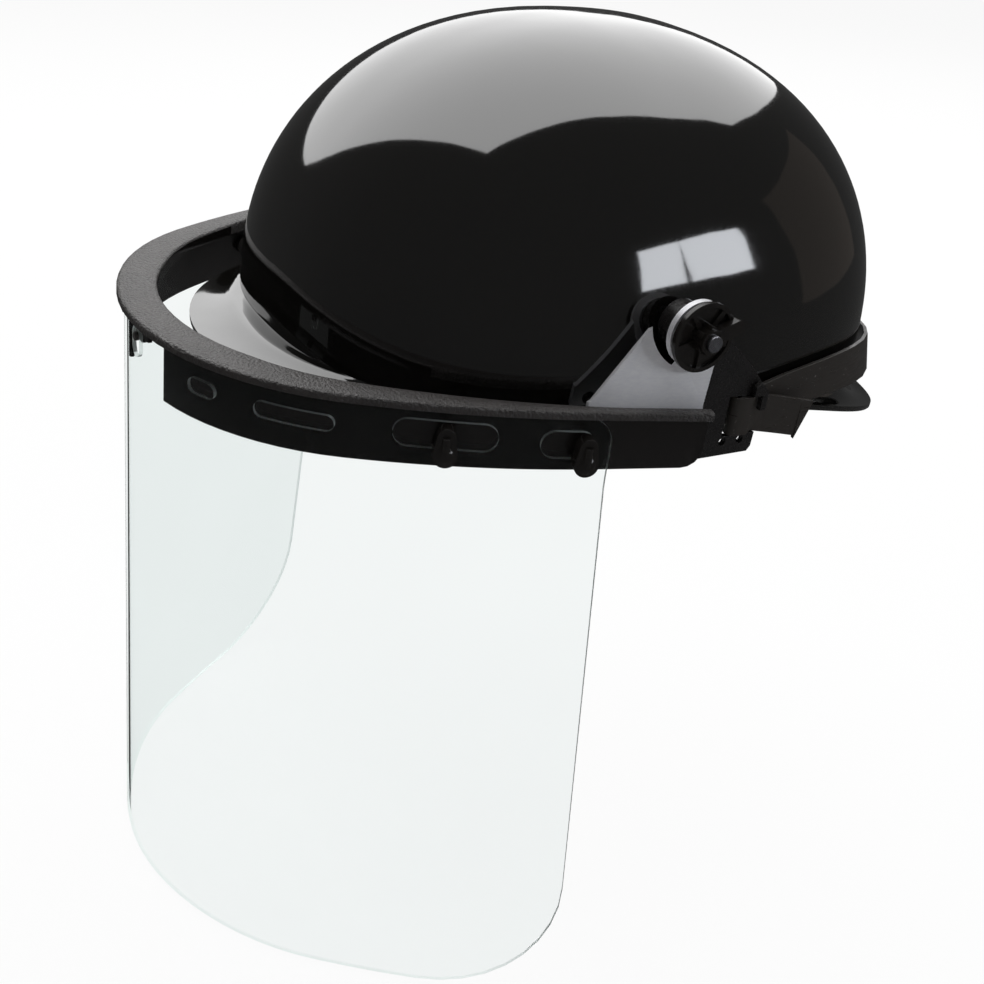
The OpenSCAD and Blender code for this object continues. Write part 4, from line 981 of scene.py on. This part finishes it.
class HAT_OT_soft(bpy.types.Operator):
    """Brow pad and crown straps"""

    bl_idname = "hat.soft"
    bl_label = "Pad and crown straps"

    def execute(self, context):
        trim = context.scene.hat_trim
        pad = dressed("brow_pad", "brow_cushion", "hat", "pad", "terry pad", trim.soft_edge)
        for letter, turn in (("a", -45), ("b", 45)):
            node, name = f"crown_strap_{letter}", f"crown_web_{letter}"
            wear = ("hat", "web", "webbing", trim.fine_edge)
            strap = dressed(node, name, *wear, angle=RIBBON_ANGLE, joined=True)
            cloth_map(strap, turn)
        return {"FINISHED"}


# How much of a strap's rise counts as length in its map
MAP_RISE = 0.7


def cloth_map(piece, turn):
    """A UV map in metres along and across a crown strap that runs at an angle in degrees from +X."""
    mesh = piece.data
    layer = mesh.uv_layers.new(name="cloth")
    turn = math.radians(turn)
    along = Vector((math.cos(turn), math.sin(turn), 0))
    across = Vector((-along.y, along.x, 0))
    for loop in mesh.loops:
        p = mesh.vertices[loop.vertex_index].co
        layer.data[loop.index].uv = (p.dot(along) + MAP_RISE * p.z, p.dot(across))


# Stage

PHOTO_PIXELS = 984
FOCAL_PIXELS = 1340.25
SENSOR_MM = 36.0
CAMERA_AT = (0.44828, -0.31761, 0.20892)
# Azimuth, elevation and roll in degrees
CAMERA_TURNS = (56.217, 28.409, 8.054)
CAMERA_SEES = (0.01, 50.0)


def photo_camera():
    """The camera, turned by its azimuth, elevation and roll."""
    azimuth, elevation, roll = (math.radians(v) for v in CAMERA_TURNS)
    right = Vector((math.cos(azimuth), math.sin(azimuth), 0))
    level = Vector((math.sin(azimuth), -math.cos(azimuth), 0))
    back = level * math.cos(elevation) + UP * math.sin(elevation)
    up = back.cross(right)
    data = bpy.data.cameras.new("photo_camera")
    data.sensor_width = SENSOR_MM
    data.lens = FOCAL_PIXELS / PHOTO_PIXELS * SENSOR_MM
    data.clip_start, data.clip_end = CAMERA_SEES
    camera = bpy.data.objects.new("photo_camera", data)
    axes = Matrix(
        (
            right * math.cos(roll) + up * math.sin(roll),
            up * math.cos(roll) - right * math.sin(roll),
            back,
        )
    ).transposed()
    camera.matrix_world = Matrix.Translation(CAMERA_AT) @ axes.to_4x4()
    bpy.context.scene.collection.objects.link(camera)
    bpy.context.scene.camera = camera


def softbox(name, at, towards, size, watts, tone=(1.0, 1.0, 1.0)):
    """A rectangular lamp at a point, facing another."""
    data = bpy.data.lights.new(name, "AREA")
    data.color = tone
    data.shape = "RECTANGLE"
    data.size, data.size_y = size
    data.energy = watts
    lamp = bpy.data.objects.new(name, data)
    lamp.location = at
    lamp.rotation_mode = "QUATERNION"
    lamp.rotation_quaternion = (Vector(at) - Vector(towards)).to_track_quat("Z", "Y")
    bpy.context.scene.collection.objects.link(lamp)


def by_ray(tree, light, camera, mirror, glass):
    """One value for the light, and others for what camera, mirror and glass rays see."""
    path = tree.nodes.new("ShaderNodeLightPath")
    value = None
    # The last two keep black pieces behind the clear sheet from reflecting white through it
    for ray, seen in (
        ("Is Camera Ray", camera),
        ("Is Glossy Ray", mirror),
        ("Is Transmission Ray", glass),
        ("Glossy Depth", mirror),
        ("Diffuse Depth", light),
    ):
        made = tree.nodes.new("ShaderNodeMix")
        made.inputs["B"].default_value = seen
        tree.links.new(path.outputs[ray], made.inputs["Factor"])
        if value is None:
            made.inputs["A"].default_value = light
        else:
            tree.links.new(value, made.inputs["A"])
        value = made.outputs["Result"]
    return value


# The share of glow in the floor's look to camera and glass rays
WHITE_SHARE = 0.93
# Brightness of floor and room to mirror rays, and of the room as a light
MIRROR_WHITE = 0.06
WORLD_LIGHT = 0.16
FLOOR_R, FLOOR_STEPS = 14.0, 96
FLOOR_GAP = 0.001
# A wide tilted panel over the far side, two panes beside the camera and a weak warm strip behind
WIDE_PANEL = {"at": (-0.74, 0.675, 1.38), "towards": (0.321, 0.675, 0.319), "size": (3.15, 2.7), "watts": 62}
PANES = {"towards": (0.0, 0.0, 0.0), "size": (0.335, 0.38), "watts": 2.0, "tone": (0.92, 0.95, 1.0)}
PANES_AT = ((1.37, 0.6506, 0.52), (1.19, 0.9494, 0.52))
WARM_STRIP = {
    "at": (0.35, 1.55, 0.42),
    "towards": (0.0, 0.0, 0.05),
    "size": (1.1, 1.0),
    "watts": 0.22,
    "tone": (1.0, 0.8, 0.66),
}


def floor_disc(scene):
    """A pale disc under the hat that keeps the shadow and glows a little less than white."""
    bm = bmesh.new()
    place = Matrix.Translation((0, 0, CAD_BOX[0].z - FLOOR_GAP))
    bmesh.ops.create_circle(bm, cap_ends=True, segments=FLOOR_STEPS, radius=FLOOR_R, matrix=place)
    mesh = bpy.data.meshes.new("floor")
    bm.to_mesh(mesh)
    bm.free()
    floor = bpy.data.objects.new("floor", mesh)
    scene.collection.objects.link(floor)
    made = Finish("stage floor", scene.hat_finishes.floor, 1.0, Specular_IOR_Level=0.0)
    glow = made.node("ShaderNodeEmission")
    made.link(by_ray(made.tree, 1.0, 1.0, MIRROR_WHITE, 1.0), glow.inputs["Strength"])
    glowing = by_ray(made.tree, 0.0, WHITE_SHARE, 1.0, WHITE_SHARE)
    made.surface(made.shader.outputs[0], glow.outputs[0], glowing)
    mesh.materials.append(made.mat)


class HAT_OT_stage(bpy.types.Operator):
    """Pale floor, soft lamps and the camera"""

    bl_idname = "hat.stage"
    bl_label = "Stage"

    def execute(self, context):
        scene = context.scene
        photo_camera()
        floor_disc(scene)
        world = bpy.data.worlds.new("studio")
        world.use_nodes = True
        scene.world = world
        tree = world.node_tree
        background = tree.nodes["Background"]
        background.inputs["Color"].default_value = (1, 1, 1, 1)
        tree.links.new(by_ray(tree, WORLD_LIGHT, 1.0, MIRROR_WHITE, 1.0), background.inputs["Strength"])
        softbox("wide_softbox", **WIDE_PANEL)
        for number, at in enumerate(PANES_AT):
            softbox(f"pane_softbox_{number}", at, **PANES)
        softbox("warm_strip", **WARM_STRIP)
        scene.view_settings.view_transform = "Standard"
        return {"FINISHED"}


class HAT_PT_panel(bpy.types.Panel):
    """Sizes, finishes and pieces of the hat"""

    bl_idname = "HAT_PT_panel"
    bl_label = "Peaked hat"
    bl_space_type = "VIEW_3D"
    bl_region_type = "UI"
    bl_category = "Hat"

    def draw(self, context):
        column = self.layout.column()
        for group in (getattr(context.scene, key) for key in GROUPS):
            for key in group.__annotations__:
                column.prop(group, key)
        for operator in PIECES:
            column.operator(operator.bl_idname)


PIECES = (
    HAT_OT_shell,
    HAT_OT_visor_frame,
    HAT_OT_window,
    HAT_OT_toggles,
    HAT_OT_arms,
    HAT_OT_pivots,
    HAT_OT_brackets,
    HAT_OT_strap,
    HAT_OT_band,
    HAT_OT_soft,
    HAT_OT_stage,
)
GROUPS = {
    "hat_shell": HatShellSizes,
    "hat_window": HatWindowSizes,
    "hat_trim": HatTrimSizes,
    "hat_finishes": HatFinishes,
}


def register():
    for made in (*GROUPS.values(), *PIECES, HAT_PT_panel):
        bpy.utils.register_class(made)
    for key, group in GROUPS.items():
        setattr(bpy.types.Scene, key, PointerProperty(type=group))


def unregister():
    for key in GROUPS:
        delattr(bpy.types.Scene, key)
    for made in reversed((*GROUPS.values(), *PIECES, HAT_PT_panel)):
        bpy.utils.unregister_class(made)


def main():
    """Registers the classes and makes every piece."""
    register()
    for operator in PIECES:
        group, _, name = operator.bl_idname.partition(".")
        getattr(getattr(bpy.ops, group), name)()


if __name__ == "__main__":
    main()
